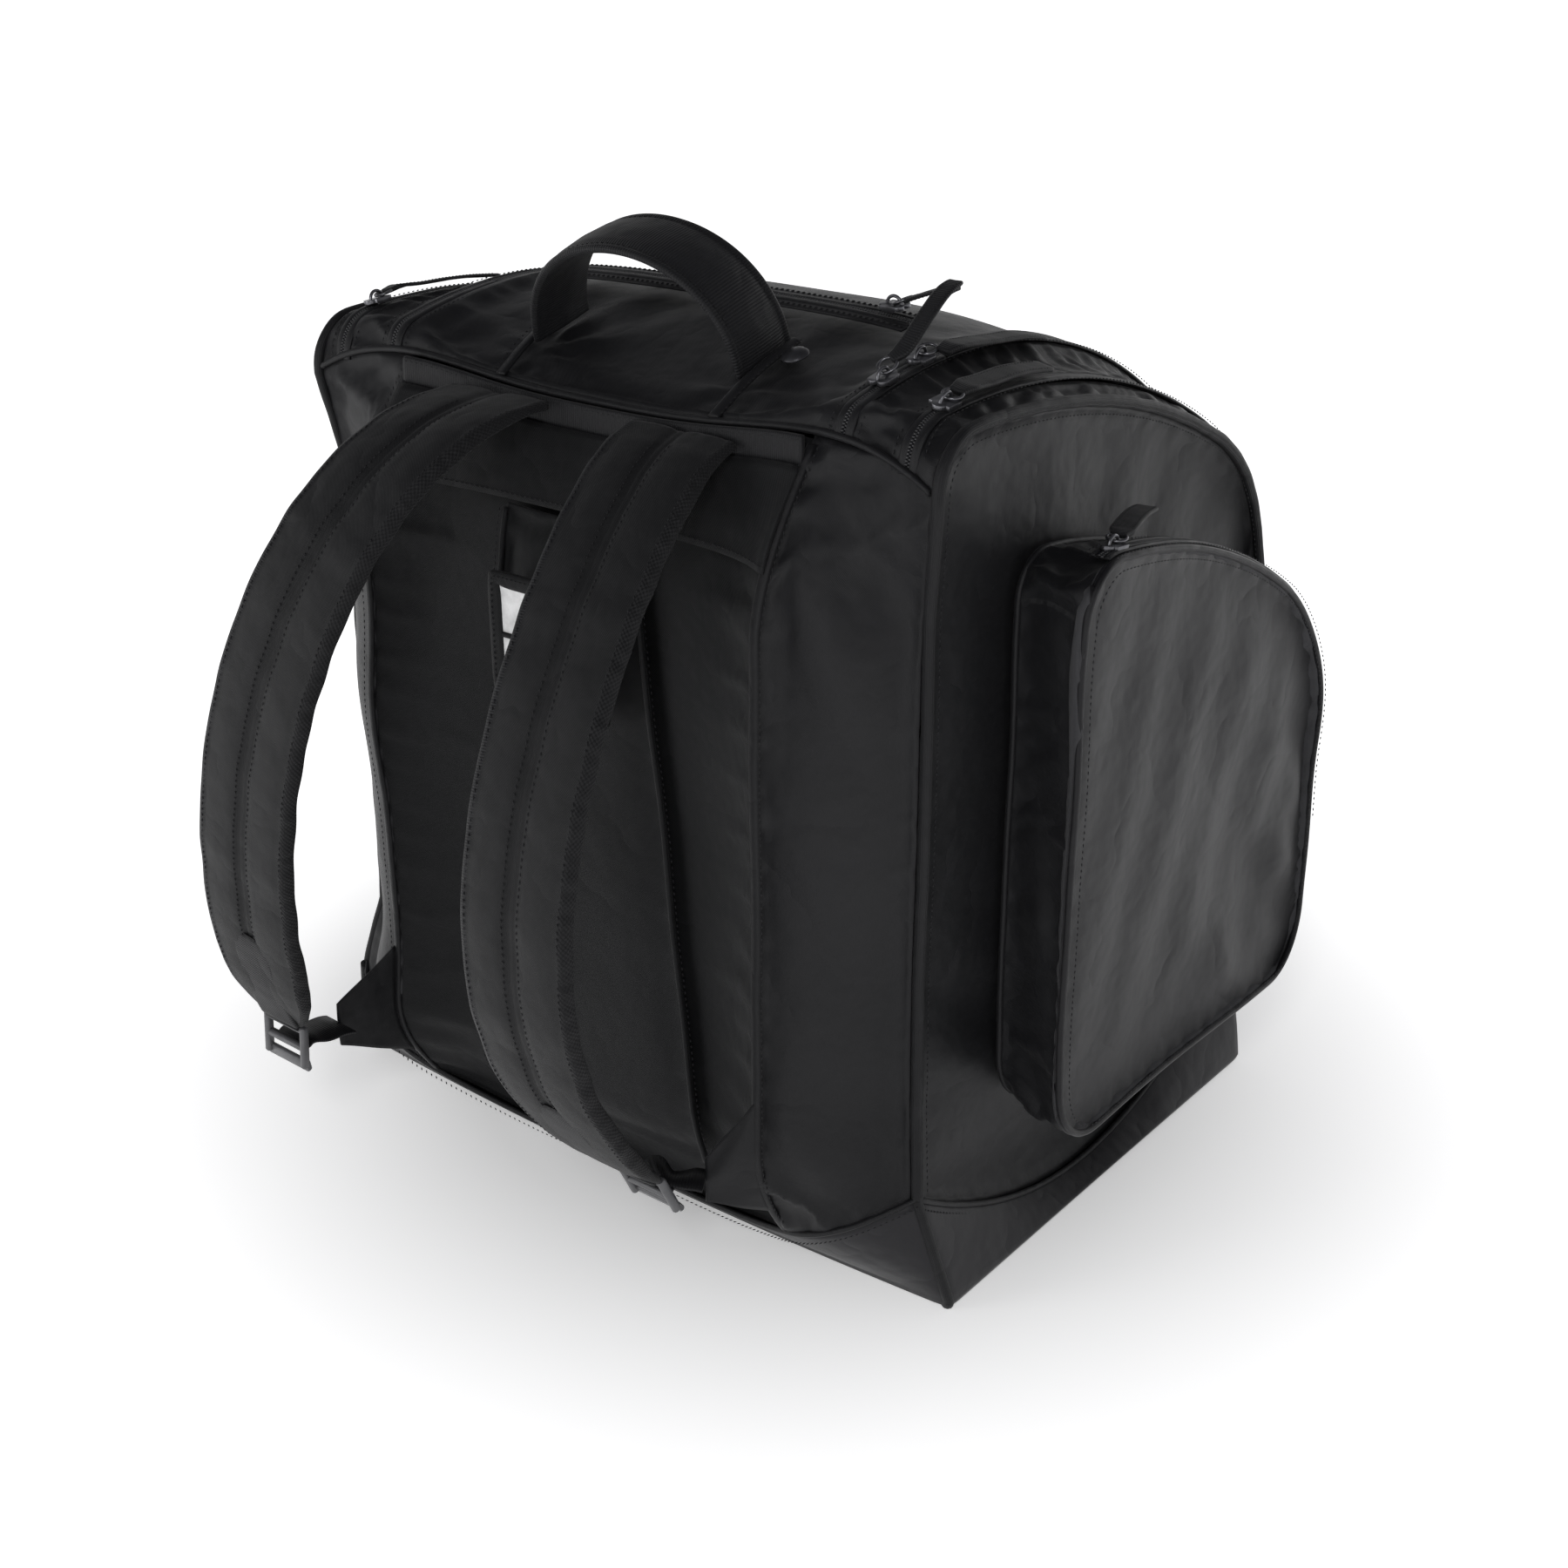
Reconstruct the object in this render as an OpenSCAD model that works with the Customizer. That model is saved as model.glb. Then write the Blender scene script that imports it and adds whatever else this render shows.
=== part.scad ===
// Ski boot bag: a soft backpack with two side boot compartments, a centre compartment under a
// curved lid, two bellows pockets, a padded harness and a top grab handle.
// +Z is up, the harness faces -Y, and the origin is on the floor under the middle of the base.

/* [Bag] */
// Width over the base corners
base_w = 430; // [400:5:450]
// Half width between the two pipings
pipe_x = 201; // [198:1:204]
// Distance from the origin to the front and the rear edge of the base
base_half_d = 160; // [150:1:165]
// How far the filled harness side stands out behind its own top edge
rear_bulge = 46; // [35:1:50]
// Thickness of a padded fabric wall
wall = 3; // [2:0.5:4]

/* [Zips] */
// Zip line between the lid and the top rail, from the middle of the bag
lid_zip_x = 146; // [140:1:150]
// Zip line between the top rail and the side door
door_zip_x = 183; // [180:1:186]
// Distance of the lid's fold line behind the middle
lid_fold = 97; // [94:1:100]
// Height of the lid's lower edge on the front
lid_end_z = 190; // [150:5:230]

/* [Side pocket] */
// How far the pocket stands out from the side door
pocket_depth = 44; // [30:1:50]
// Height of the pocket's bottom edge
pocket_z = 85; // [80:1:100]
// Distance of the pocket's rear edge behind the middle
pocket_rear = 118; // [110:1:125]

/* [Harness] */
// Width of a shoulder strap
strap_w = 66; // [60:1:70]
// Thickness of a shoulder strap
strap_t = 10; // [8:1:12]
// Distance between the two strap roots
root_gap = 118; // [110:1:124]
// Width of the grab handle's band
handle_w = 42; // [36:1:46]
// Height of the grab handle above the top
handle_h = 62; // [56:1:68]

/* [Base] */
// Height of the turned-up base corners
prow_h = 60; // [50:1:65]
// Length over which a turned-up corner runs out
prow_len = 165; // [150:1:170]
// Height of the base's edge strip away from the corners
lip_h = 10; // [8:1:12]

/* [Hidden] */

black = "#26262a";
coated = "#3a3a40";
metal = "#8a8a8c";
gap = 0.5;
piping_r = 3.2;
piping_inset = 3.5;
seam_x = 130;
base_half_w = base_w / 2;
edge_bow = 8;
rim_x0 = door_zip_x + 1;
rim_x1 = pipe_x - piping_inset;
rail_x0 = lid_zip_x + 0.7;
rail_x1 = door_zip_x - 1;
lid_x = lid_zip_x - 0.7;

// The top is a family of arcs: a long flat one over the pipings and a rounder one at the middle.
side_arc = [-130, -18, 475];
mid_arc = [-40, 260, 221.3];
side_ends = [-172, 28, 155, 128];
mid_ends = [-164, 8, 175, 120];

function lerp(a, b, t) = a + (b - a) * t;
function crown(x) = 1 - pow(min(abs(x) / pipe_x, 1), 3);
function arc_at(x) = lerp(side_arc, mid_arc, crown(x));
function ends_at(x) = lerp(side_ends, mid_ends, crown(x));
function arc_points(c, r, a0, a1, n) = [for (i = [0:n]) let (t = lerp(a0, a1, i / n))
    c + r * [cos(t), sin(t)]];
function corner(a, y, r) = [y, a[1] + sqrt(pow(a[2] - r, 2) - pow(y - a[0], 2))];
function rear_corner(x) = corner(arc_at(x), ends_at(x)[0] + ends_at(x)[1], ends_at(x)[1]);
function front_corner(x) = corner(arc_at(x), ends_at(x)[2] - ends_at(x)[3], ends_at(x)[3]);
function heading(a, c) = atan2(c[1] - a[1], c[0] - a[0]);
function angle_of(a, y) = acos((y - a[0]) / a[2]);
function top_z(x, y) = arc_at(x)[1] + sqrt(pow(arc_at(x)[2], 2) - pow(y - arc_at(x)[0], 2));

// Height of the seam between the base and the panels: low along the edges, high at the corners.
function prow(d) = prow_h * pow(max(1 - d / prow_len, 0), 2);
function seam_z(d) = lip_h + prow(d);

// Stretches of the profile at one x, moved inwards by g. Each starts at the rear.
function rear_round(x, g) = arc_points(rear_corner(x), ends_at(x)[1] - g, 180,
    heading(arc_at(x), rear_corner(x)), 4);
function top_from(x, y, g) = [for (a = [arc_at(x)]) each arc_points([a[0], a[1]], a[2] - g,
    angle_of(a, y), heading(a, front_corner(x)), 12)];
function top_until(x, y, g) = [for (a = [arc_at(x)]) each arc_points([a[0], a[1]], a[2] - g,
    heading(a, rear_corner(x)), angle_of(a, y), 4)];
function front_round(x, g) = arc_points(front_corner(x), ends_at(x)[3] - g,
    heading(arc_at(x), front_corner(x)), 0, 8);
function front_drop(x, g, z0, z1) = [for (i = [0:4]) [ends_at(x)[2] - g, lerp(z0, z1, i / 4)]];
function tail(list) = [for (i = [1:len(list) - 1]) list[i]];
function over_top(x, g, y) = concat(top_from(x, y, g), tail(front_round(x, g)));
function whole_arch(x, g, z_end) = concat(rear_round(x, g), tail(top_until(x, -lid_fold, g)),
    tail(over_top(x, g, -lid_fold)), tail(front_drop(x, g, front_corner(x)[1], z_end)));

// Rear surface of the filled bag: flat at its edges and standing out between them.
function swell(x) = abs(x) <= seam_x ? 1 : 1 - pow((abs(x) - seam_x) / (pipe_x - seam_x), 2);
function rise(z, z_top) = sin(90 * min(max((z_top - z) / 90, 0), 1)) * sin(90 * min(z / 90, 1));
function rear_y(x, z) = ends_at(x)[0] - rear_bulge * swell(x) * rise(z, rear_corner(x)[1]);

// A closed sheet between two grids of points that have the same size.
function quad(a, b, c, d) = [[a, b, c], [a, c, d]];
module sheet(outer, inner) {
    n = len(outer);
    m = len(outer[0]);
    half = n * m;
    skin = [for (i = [0:n - 2], j = [0:m - 2]) let (k = i * m + j) each quad(k, k + 1, k + m + 1, k + m)];
    rim = concat([for (j = [0:m - 2]) [j, j + 1]],
        [for (i = [1:n - 1]) [i * m - 1, (i + 1) * m - 1]],
        [for (j = [m - 1:-1:1]) [(n - 1) * m + j, (n - 1) * m + j - 1]],
        [for (i = [n - 1:-1:1]) [i * m, (i - 1) * m]]);
    back = [for (f = skin) [f[2] + half, f[1] + half, f[0] + half]];
    edge = [for (e = rim) each quad(e[1], e[0], e[0] + half, e[1] + half)];
    points = concat([for (row = outer) each row], [for (row = inner) each row]);
    polyhedron(points, concat(skin, back, edge), convexity = 8);
}

// A band of the bag's top: the profile function is called with x and the inset.
module band(xs, profile, thick = wall) {
    outer = [for (x = xs) [for (p = profile(x, 0)) [x, p[0], p[1]]]];
    inner = [for (x = xs) [for (p = profile(x, thick)) [x, p[0], p[1]]]];
    sheet(outer, inner);
}

// A part of the rear wall: rows of x, and z from the base seam up to z_top(x).
module rear_sheet(xs, y_of, z_low, z_top, rows, thick = wall) {
    zs = function(x) [for (i = [0:rows]) lerp(z_low(x), z_top(x), i / rows)];
    outer = [for (x = xs) [for (z = zs(x)) [x, y_of(x, z), z]]];
    inner = [for (x = xs) [for (z = zs(x)) [x, y_of(x, z) + thick, z]]];
    sheet(outer, inner);
}

function spread(a, b, n) = [for (i = [0:n]) lerp(a, b, i / n)];
function corner_gap(x) = base_half_w * (1 - abs(x) / (rim_x1 + 2));

// D-shaped outline of a side panel, inset by g from the piping, above the base seam.
function side_arch(g) = whole_arch(pipe_x, g, seam_z(0));
side_steps = 16;
side_front = ends_at(pipe_x)[2];
side_rear = ends_at(pipe_x)[0];
function foot_way(i) = min(i, side_steps - i) / side_steps * (side_front - side_rear);
function side_foot(g) = concat([for (i = [1:side_steps - 1])
    [lerp(side_front - g, side_rear + g, i / side_steps), seam_z(foot_way(i))]],
    [[side_rear + g, seam_z(0)]]);
function side_outline(g) = concat(side_arch(g), side_foot(g));

// Outline of the side pocket, inset by g.
pocket_arc = [-130, -18, 413];
pocket_ends = [-pocket_rear, 26, 149, 125];
pocket_round = 38;
function pocket_outline(g) = let (a = pocket_arc, e = pocket_ends,
        cr = corner(a, e[0] + e[1], e[1]), cf = corner(a, e[2] - e[3], e[3]))
    concat(arc_points(cr, e[1] - g, 180, heading(a, cr), 5),
        tail(arc_points([a[0], a[1]], a[2] - g, heading(a, cr), heading(a, cf), 8)),
        tail(arc_points(cf, e[3] - g, heading(a, cf), 0, 8)),
        arc_points([e[2] - pocket_round, pocket_z + pocket_round], pocket_round - g, 0, -90, 5),
        arc_points([e[0] + pocket_round, pocket_z + pocket_round], pocket_round - g, -90, -180, 5));

// Stands a drawing of (y, z) up in the plane x, with its thickness towards +X.
module stand(x, thick) {
    translate([x, 0, 0])
        rotate([90, 0, 90])
            linear_extrude(thick)
                children();
}

module left_of_right() {
    mirror([1, 0, 0])
        children();
}

// ---- fixed body ----
valley = 16;
function dip(x, z) = valley * rise(z, rear_corner(x)[1]) * (1 - pow(abs(x) / seam_x, 6));
function panel_dip(x, z) = rear_y(x, z) + dip(x, z);
function foot_z(x) = seam_z(corner_gap(x));
function wall_top(x) = rear_corner(x)[1];
dip_face = function(x, z) panel_dip(x, z);
rear_face = function(x, z) rear_y(x, z);
foot_line = function(x) foot_z(x);
top_line = function(x) wall_top(x) - gap;

module harness_panel() {
    color(black)
        rear_sheet(spread(-seam_x, seam_x, 14), dip_face, foot_line, top_line, 14);
}

pad_t = 13;
function pad_half(z) = lerp(78, 46, min(max((z - 60) / 300, 0), 1));
module back_pad() {
    zs = spread(46, 388, 14);
    us = spread(-1, 1, 8);
    pad_y = function(u, z) panel_dip(u * pad_half(z), z) - 0.9;
    puff = function(u) pad_t * (1 - pow(abs(u), 4)) + 1.2;
    outer = [for (u = us) [for (z = zs) [u * pad_half(z), pad_y(u, z) - puff(u), z]]];
    inner = [for (u = us) [for (z = zs) [u * pad_half(z), pad_y(u, z), z]]];
    color(black)
        sheet(outer, inner);
}

module yoke_panel() {
    color(black)
        rear_sheet(spread(-seam_x, seam_x, 10), function(x, z) panel_dip(x, z) - 2.8, function(x) 392,
            function(x) wall_top(x) - 16, 5, 2);
}

module top_binding() {
    color(black)
        rear_sheet(spread(-seam_x, seam_x, 10),
            function(x, z) panel_dip(x, z) - 3.3, function(x) wall_top(x) - 15.5,
            top_line, 2, 2.5);
}

module rear_wrap_right() {
    color(black)
        rear_sheet(spread(seam_x, rim_x1, 7), rear_face, foot_line, top_line, 12);
}

module rear_wrap_left() {
    left_of_right()
        rear_wrap_right();
}

module top_bridge() {
    color(black)
        band(spread(-lid_x, lid_x, 12),
            function(x, g) concat(rear_round(x, g), tail(top_until(x, -lid_fold, g))));
}

module top_rail_right() {
    color(black)
        band(spread(rail_x0, rail_x1, 3), function(x, g) whole_arch(x, g, foot_z(x)));
}

module top_rail_left() {
    left_of_right()
        top_rail_right();
}

module front_panel() {
    color(black)
        band(spread(-lid_x, lid_x, 10), function(x, g) front_drop(x, g, lid_end_z - gap, foot_z(x)));
}

// The base: a bottom sheet, an upstanding lip and four turned-up corners.
module base_tray() {
    rows = 28;
    edge_x = function(i) lerp(-base_half_w, base_half_w, i / rows);
    rim_y = function(x, s) s * (base_half_d + edge_bow * (1 - pow(x / base_half_w, 2)));
    color(coated) {
        linear_extrude(2.5)
            polygon(concat([for (i = [0:rows]) [edge_x(i), rim_y(edge_x(i), -1)]],
                [for (i = [rows:-1:0]) [edge_x(i), rim_y(edge_x(i), 1)]]));
        for (s = [-1, 1])
            upstand(s, rows);
        for (s = [-1, 1])
            side_upstand(s, rows);
    }
}

// Rear (s = -1) or front (s = 1) lip of the base, rising into the corners.
module upstand(s, rows) {
    lip_top_y = function(x) s < 0 ? rear_y(x, foot_z(x)) : ends_at(x)[2];
    low_y = function(x) s * (base_half_d + edge_bow * (1 - pow(x / base_half_w, 2)));
    reach = function(x, k) x * lerp(1, (rim_x1 + 2) / base_half_w, k);
    face = function(x, k, d) [reach(x, k), lerp(low_y(x), lip_top_y(reach(x, 1)), k) - s * d,
        lerp(0.5, foot_z(reach(x, 1)) - 2 * gap, k)];
    outer = [for (x = spread(-base_half_w, base_half_w, rows)) [for (k = [0, 0.5, 1]) face(x, k, 0)]];
    inner = [for (x = spread(-base_half_w, base_half_w, rows)) [for (k = [0, 0.5, 1]) face(x, k, 2.5)]];
    if (s < 0)
        sheet(outer, inner);
    else
        sheet(inner, outer);
}

module side_upstand(s, rows) {
    top_x = pipe_x + 2;
    d_of = function(i) min(i, rows - i) / rows * (side_front - side_rear);
    low_y = function(i) lerp(-1, 1, i / rows) * (base_half_d - 1);
    high_y = function(i) lerp(side_rear, side_front, i / rows);
    x_of = function(i, k) lerp(base_half_w, top_x, k * seam_z(d_of(i)) / seam_z(0));
    face = function(i, k, d) [s * (x_of(i, k) - d), lerp(low_y(i), high_y(i), k),
        lerp(0.5, seam_z(d_of(i)) - 2 * gap, k)];
    outer = [for (i = [0:rows]) [for (k = [0, 0.5, 1]) face(i, k, 0)]];
    inner = [for (i = [0:rows]) [for (k = [0, 0.5, 1]) face(i, k, 2.5)]];
    if (s < 0)
        sheet(inner, outer);
    else
        sheet(outer, inner);
}

module base_board() {
    color("#1d1d1f")
        translate([-192, -148, 2.8])
            cube([384, 296, 3]);
}

// A divider stands beside the centre compartment and turns outwards to the rail under the lid's zip.
divider_x = 88;
divider_drop = 52;
module divider_right() {
    front_y = ends_at(divider_x)[2] - 7;
    color("#303034") {
        stand(divider_x, 2)
            polygon(concat([for (p = whole_arch(divider_x, divider_drop, 8)) [min(p[0], front_y), p[1]]],
                [[-150, 8], [-188, 95], [-188, 340]]));
        band([divider_x + 2.2, rail_x0 + 2],
            function(x, g) over_top(x, (x < 100 ? divider_drop - 2 : wall + 0.6) + g, -120), 2);
    }
}

module divider_left() {
    left_of_right()
        divider_right();
}

module rivet() {
    color(metal)
        on_top(84, -122)
            translate([0, 0, 0.3])
                rotate_extrude($fn = 48)
                    polygon([[0, 0], [7, 0], [7, 0.8], [5.6, 2.2], [3, 3.2], [0, 3.6]]);
}

// ---- grab handle ----
handle_y = -122;
handle_half = 66;
handle_base_z = top_z(handle_half, handle_y - handle_w / 2) + 0.5;
handle_cut = 20;
foot_lift = 11;
foot_h = handle_cut - foot_lift - 6;
handle_tilt = 15;
function handle_arch(g, n) = [for (i = [0:n]) let (a = 180 * i / n)
    [(handle_half - g) * cos(a), handle_base_z + (handle_h - g) * pow(sin(a), 0.85)]];
module handle_lean() {
    translate([0, handle_y, handle_base_z])
        rotate([handle_tilt, 0, 0])
            translate([0, 0, -handle_base_z])
                children();
}

module handle_band(t) {
    translate([0, handle_w / 2, 0])
        rotate([90, 0, 0])
            linear_extrude(handle_w)
                intersection() {
                    polygon(concat(handle_arch(0, 32), [for (p = handle_arch(t, 32)) [-p[0], p[1]]]));
                    children();
                }
}

module grab_handle() {
    color(black)
        handle_lean()
            handle_band(5)
                translate([-100, handle_base_z + handle_cut])
                    square([200, 100]);
}

module handle_feet() {
    foot_t = 5;
    color(black)
        handle_lean()
            for (s = [-1, 1])
                translate([s * (handle_half - foot_t / 2) - foot_t / 2,
                    -handle_w / 2, handle_base_z + foot_lift])
                    cube([foot_t, handle_w, foot_h]);
}

// ---- shoulder straps ----
root_x = root_gap / 2;
right_route = [[root_x, -173, 437], [root_x - 2, -245, 423], [77, -414, 229], [87, -254, 83]];
left_route = [[-root_x, -173, 437], [-root_x + 8, -320, 445], [-128, -340, 245], [-136, -289, 108]];
root_start = 0.015;
root_end = 0.05;
strap_start = 0.12;
root_t = strap_t * 0.7;
right_apex = [108, -226, 70];
left_apex = [-137, -250, 84];

function bezier(p, t) = pow(1 - t, 3) * p[0] + 3 * t * pow(1 - t, 2) * p[1]
    + 3 * t * t * (1 - t) * p[2] + pow(t, 3) * p[3];
function slope(p, t) = 3 * pow(1 - t, 2) * (p[1] - p[0]) + 6 * t * (1 - t) * (p[2] - p[1])
    + 3 * t * t * (p[3] - p[2]);
function unit(v) = v / norm(v);
function across(d) = unit([1, 0, 0] - d[0] * d);

// A flat band along a route from t0 to t1.
module strap_band(route, t0, t1, w, t, n) {
    edge_ease = function(u) 1 - 0.45 * pow(abs(u), 3);
    face = function(k, u, lift) let (q = lerp(t0, t1, k / n), d = unit(slope(route, q)), s = across(d))
        bezier(route, q) + s * u * w / 2 + cross(s, d) * lift * t / 2 * edge_ease(u);
    us = [-1, -0.8, -0.4, 0, 0.4, 0.8, 1];
    top = [for (k = [0:n]) [for (u = us) face(k, u, 1)]];
    low = [for (k = [0:n]) [for (u = us) face(k, u, -1)]];
    sheet(low, top);
}

module shoulder_strap_right() {
    color(black)
        strap_band(right_route, strap_start, 1, strap_w, strap_t, 22);
}

module shoulder_strap_left() {
    color(black)
        strap_band(left_route, strap_start, 1, strap_w, strap_t, 22);
}

module strap_roots() {
    color(black) {
        strap_band(right_route, root_start, root_end, strap_w, root_t, 3);
        strap_band(left_route, root_start, root_end, strap_w, root_t, 3);
    }
}

buckle_w = 32;
buckle_l = 26;
// Direction that the strap's end points in, and the place of the buckle just past it.
function end_way(route) = unit(slope(route, 1));
function buckle_at(route) = route[3] + end_way(route) * (buckle_l / 2 + 2);

// A frame across the strap's end: local X across, local Y along the strap, local Z out.
module at_buckle(route) {
    d = end_way(route);
    s = across(d);
    n = cross(s, d);
    o = buckle_at(route);
    multmatrix([[s[0], d[0], n[0], o[0]], [s[1], d[1], n[1], o[1]], [s[2], d[2], n[2], o[2]]])
        children();
}

// Ladder-lock: a frame with two bars, and a lip to lift it by.
module ladder_lock() {
    side = 3.6;
    bar = 4;
    for (s = [-1, 1])
        translate([s * (buckle_w - side) / 2 - side / 2, -buckle_l / 2, -2.2])
            cube([side, buckle_l, 4.4]);
    for (y = [-buckle_l / 2 + bar / 2, 0.5])
        translate([-buckle_w / 2 + 1, y, 0])
            rotate([0, 90, 0])
                cylinder(h = buckle_w - 2, d = bar, $fn = 32);
    translate([-buckle_w / 2, buckle_l / 2 - 5, -1.6])
        rotate([-14, 0, 0])
            cube([buckle_w, 8, 3.2]);
}

module ladder_lock_right() {
    color("#55555a")
        at_buckle(right_route)
            ladder_lock();
}

module ladder_lock_left() {
    color("#55555a")
        at_buckle(left_route)
            ladder_lock();
}

// Webbing from the buckle back to the tab on the bag.
module webbing_run(route, apex) {
    d = end_way(route);
    s = across(d);
    a = buckle_at(route) + d * 6 + cross(s, d) * 4.2;
    b = apex;
    n = unit(cross(s, b - a));
    top = [for (k = [0:3]) [for (u = [-1, 1]) lerp(a, b, k / 3) + s * u * lerp(12.5, 12, k / 3) + n * 0.8]];
    low = [for (k = [0:3]) [for (u = [-1, 1]) lerp(a, b, k / 3) + s * u * lerp(12.5, 12, k / 3) - n * 0.8]];
    sheet(low, top);
}

module strap_webbing_right() {
    color(black)
        webbing_run(right_route, lerp(buckle_at(right_route), right_apex, 0.9));
}

module strap_webbing_left() {
    color(black)
        webbing_run(left_route, lerp(buckle_at(left_route), left_apex, 0.9));
}

// A triangular tab: its long side is sewn into the seam, its short side holds the webbing.
module tab(side, apex) {
    ends = [48, 120];
    rows = 4;
    foot = function(z) [side * (seam_x + 1), rear_y(seam_x, z) - 1.4, z];
    tip = function(z) [apex[0], apex[1], apex[2] + lerp(-13, 13, (z - ends[0]) / (ends[1] - ends[0]))];
    n = unit(cross([0, 0, 1], tip(ends[0]) - foot(ends[0])));
    face = function(i, k, lift) let (z = lerp(ends[0], ends[1], i / rows))
        lerp(foot(z), tip(z), k / 3) + n * lift;
    top = [for (i = [0:rows]) [for (k = [0:3]) face(i, k, 0.8)]];
    low = [for (i = [0:rows]) [for (k = [0:3]) face(i, k, -0.8)]];
    sheet(top, low);
}

module webbing_tabs() {
    color(black) {
        tab(1, right_apex);
        tab(-1, left_apex);
    }
}

// ---- name card ----
card_z = 300;
card_w = 68;
bar_h = 2.4;
card_h = 56;
card_y = rear_y(0, card_z + card_h / 2) + valley - pad_t - 2.1;
module card_window() {
    frame = 5;
    color("#3c3c40")
        translate([0, card_y - 1.9, 0])
            rotate([90, 0, 0])
                linear_extrude(1)
                    difference() {
                        translate([-card_w / 2 - frame, card_z - frame])
                            square([card_w + 2 * frame, card_h + frame + 2]);
                        for (z = [card_z + 3, card_z + (card_h + bar_h) / 2])
                            translate([-card_w / 2 + 3, z])
                                square([card_w - 6, (card_h - bar_h) / 2 - 3]);
                    }
}

module name_card() {
    color("white")
        translate([-card_w / 2, card_y - 1.4, card_z])
            cube([card_w, 0.7, card_h]);
}

// ---- lid ----
module lid_panel() {
    color(black)
        band(spread(-lid_x, lid_x, 14), function(x, g) concat(over_top(x, g, -lid_fold + gap),
            tail(front_drop(x, g, front_corner(x)[1], lid_end_z))));
}

lid_zip_y = -65;
lid_zip_half = 112;
lid_zip_slope = -asin((lid_zip_y - mid_arc[0]) / mid_arc[2]);
lid_zip_z = top_z(0, lid_zip_y) + 1.4;
module lid_zip() {
    ys = [-9, 0, 9];
    xs = spread(-lid_zip_half, lid_zip_half, 12);
    top = [for (x = xs) [for (y = ys) [x, lid_zip_y + y, lid_zip_z + y * tan(lid_zip_slope)]]];
    low = [for (x = xs) [for (y = ys) [x, lid_zip_y + y, top_z(x, lid_zip_y + y) + 0.1]]];
    color("#1b1b1d")
        sheet(top, low);
}

// ---- zip sliders ----
slider_w = 11;
slider_l = 17;
slider_t = 2;
slider_lift = 2.2;
ring = 4.6;
pull_z = slider_lift + slider_t + 1.6;

// Slider with its nose towards +Y, over a coil that lies in the plane z = 0.
module slider() {
    translate([0, 0, slider_lift])
        linear_extrude(slider_t)
            union() {
                translate([-slider_w / 2, -slider_l / 2 + 3])
                    square([slider_w, slider_l - 8]);
                translate([0, -slider_l / 2 + 3.5])
                    circle(d = slider_w - 3.4, $fn = 32);
                for (s = [-1, 1])
                    translate([s * 2.6, slider_l / 2 - 5])
                        circle(d = slider_w - 5.2, $fn = 32);
            }
    for (s = [-1, 1])
        translate([s * (slider_w / 2 - 0.6) - 0.6, -slider_l / 2 + 4, slider_lift - 0.9])
            cube([1.2, slider_l - 10, 1]);
    bridge();
}

// The bridge that holds the pull: an arch along the slider.
module bridge() {
    r = 4.4;
    translate([0, -0.5, slider_lift + slider_t - 0.6])
        rotate([90, 0, 90])
            rotate_extrude(angle = 180, $fn = 48)
                translate([r, 0])
                    circle(d = 1.7, $fn = 20);
}

// Pull: a wire ring through the bridge and a folded ribbon. It points along +Y and lies flat.
module pull(length, w = 9, shift = 0) {
    translate([0, ring, 0]) {
        rotate_extrude($fn = 48)
            translate([ring, 0])
                circle(d = 1.6, $fn = 16);
        translate([-w / 2 + shift, ring - 1.4, -0.9])
            cube([w, length - ring, 1.8]);
    }
}

// Place on the zip line at x, with y measured along the ground: local +Y runs forwards.
module on_top(x, y) {
    translate([x, y, top_z(x, y)])
        rotate([-asin((y - arc_at(x)[0]) / arc_at(x)[2]), 0, 0])
            rotate([0, atan((top_z(x - 1, y) - top_z(x + 1, y)) / 2), 0])
                children();
}

// Ribbon that follows the arc of the zip line, from the slider at y over an angle.
module curved_pull(x, y, span, w = 9, shift = 0) {
    a = arc_at(x);
    start = angle_of(a, y);
    on_top(x, y)
        translate([0, ring, pull_z])
            rotate_extrude($fn = 48)
                translate([ring, 0])
                    circle(d = 1.6, $fn = 16);
    translate([x - w / 2 + shift, a[0], a[1]])
        rotate([90, 0, 90])
            rotate([0, 0, start - 1.1 - span])
                rotate_extrude(angle = span, $fn = 360)
                    translate([a[2] + pull_z - 0.9, 0])
                        square([1.8, w]);
}

lid_rear_y = -137;
lid_front_y = -108;
door_slider_y = -142;

module slider_lid_rear() {
    color(metal)
        on_top(lid_zip_x, lid_rear_y)
            rotate([0, 0, 180])
                slider();
}

module pull_lid_rear() {
    color(black)
        on_top(lid_zip_x, lid_rear_y)
            translate([0, 0, pull_z])
                rotate([27, 0, 0])
                    pull(54, 9, 6);
}

module slider_lid_front() {
    color(metal)
        on_top(lid_zip_x, lid_front_y)
            slider();
}

module pull_lid_front() {
    color(black)
        curved_pull(lid_zip_x, lid_front_y, 13, 13, 7.4);
}

module slider_door_right() {
    color(metal)
        on_top(door_zip_x, door_slider_y)
            slider();
}

module pull_door_right() {
    color(black)
        curved_pull(door_zip_x, door_slider_y, 11);
}

module slider_door_left() {
    left_of_right()
        slider_door_right();
}

module pull_door_left() {
    left_of_right()
        pull_door_right();
}

lid_slider_x = 101;
module slider_lid_pocket() {
    color(metal)
        translate([lid_slider_x, lid_zip_y, lid_zip_z])
            rotate([lid_zip_slope, 0, 0])
                rotate([0, 0, -90])
                    slider();
}

module pull_lid_pocket() {
    color(black)
        translate([lid_slider_x, lid_zip_y, lid_zip_z])
            rotate([lid_zip_slope, 0, 0])
                translate([0, 0, pull_z])
                    rotate([0, 0, -90])
                        rotate([10, 0, 0])
                            pull(39);
}

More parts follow.
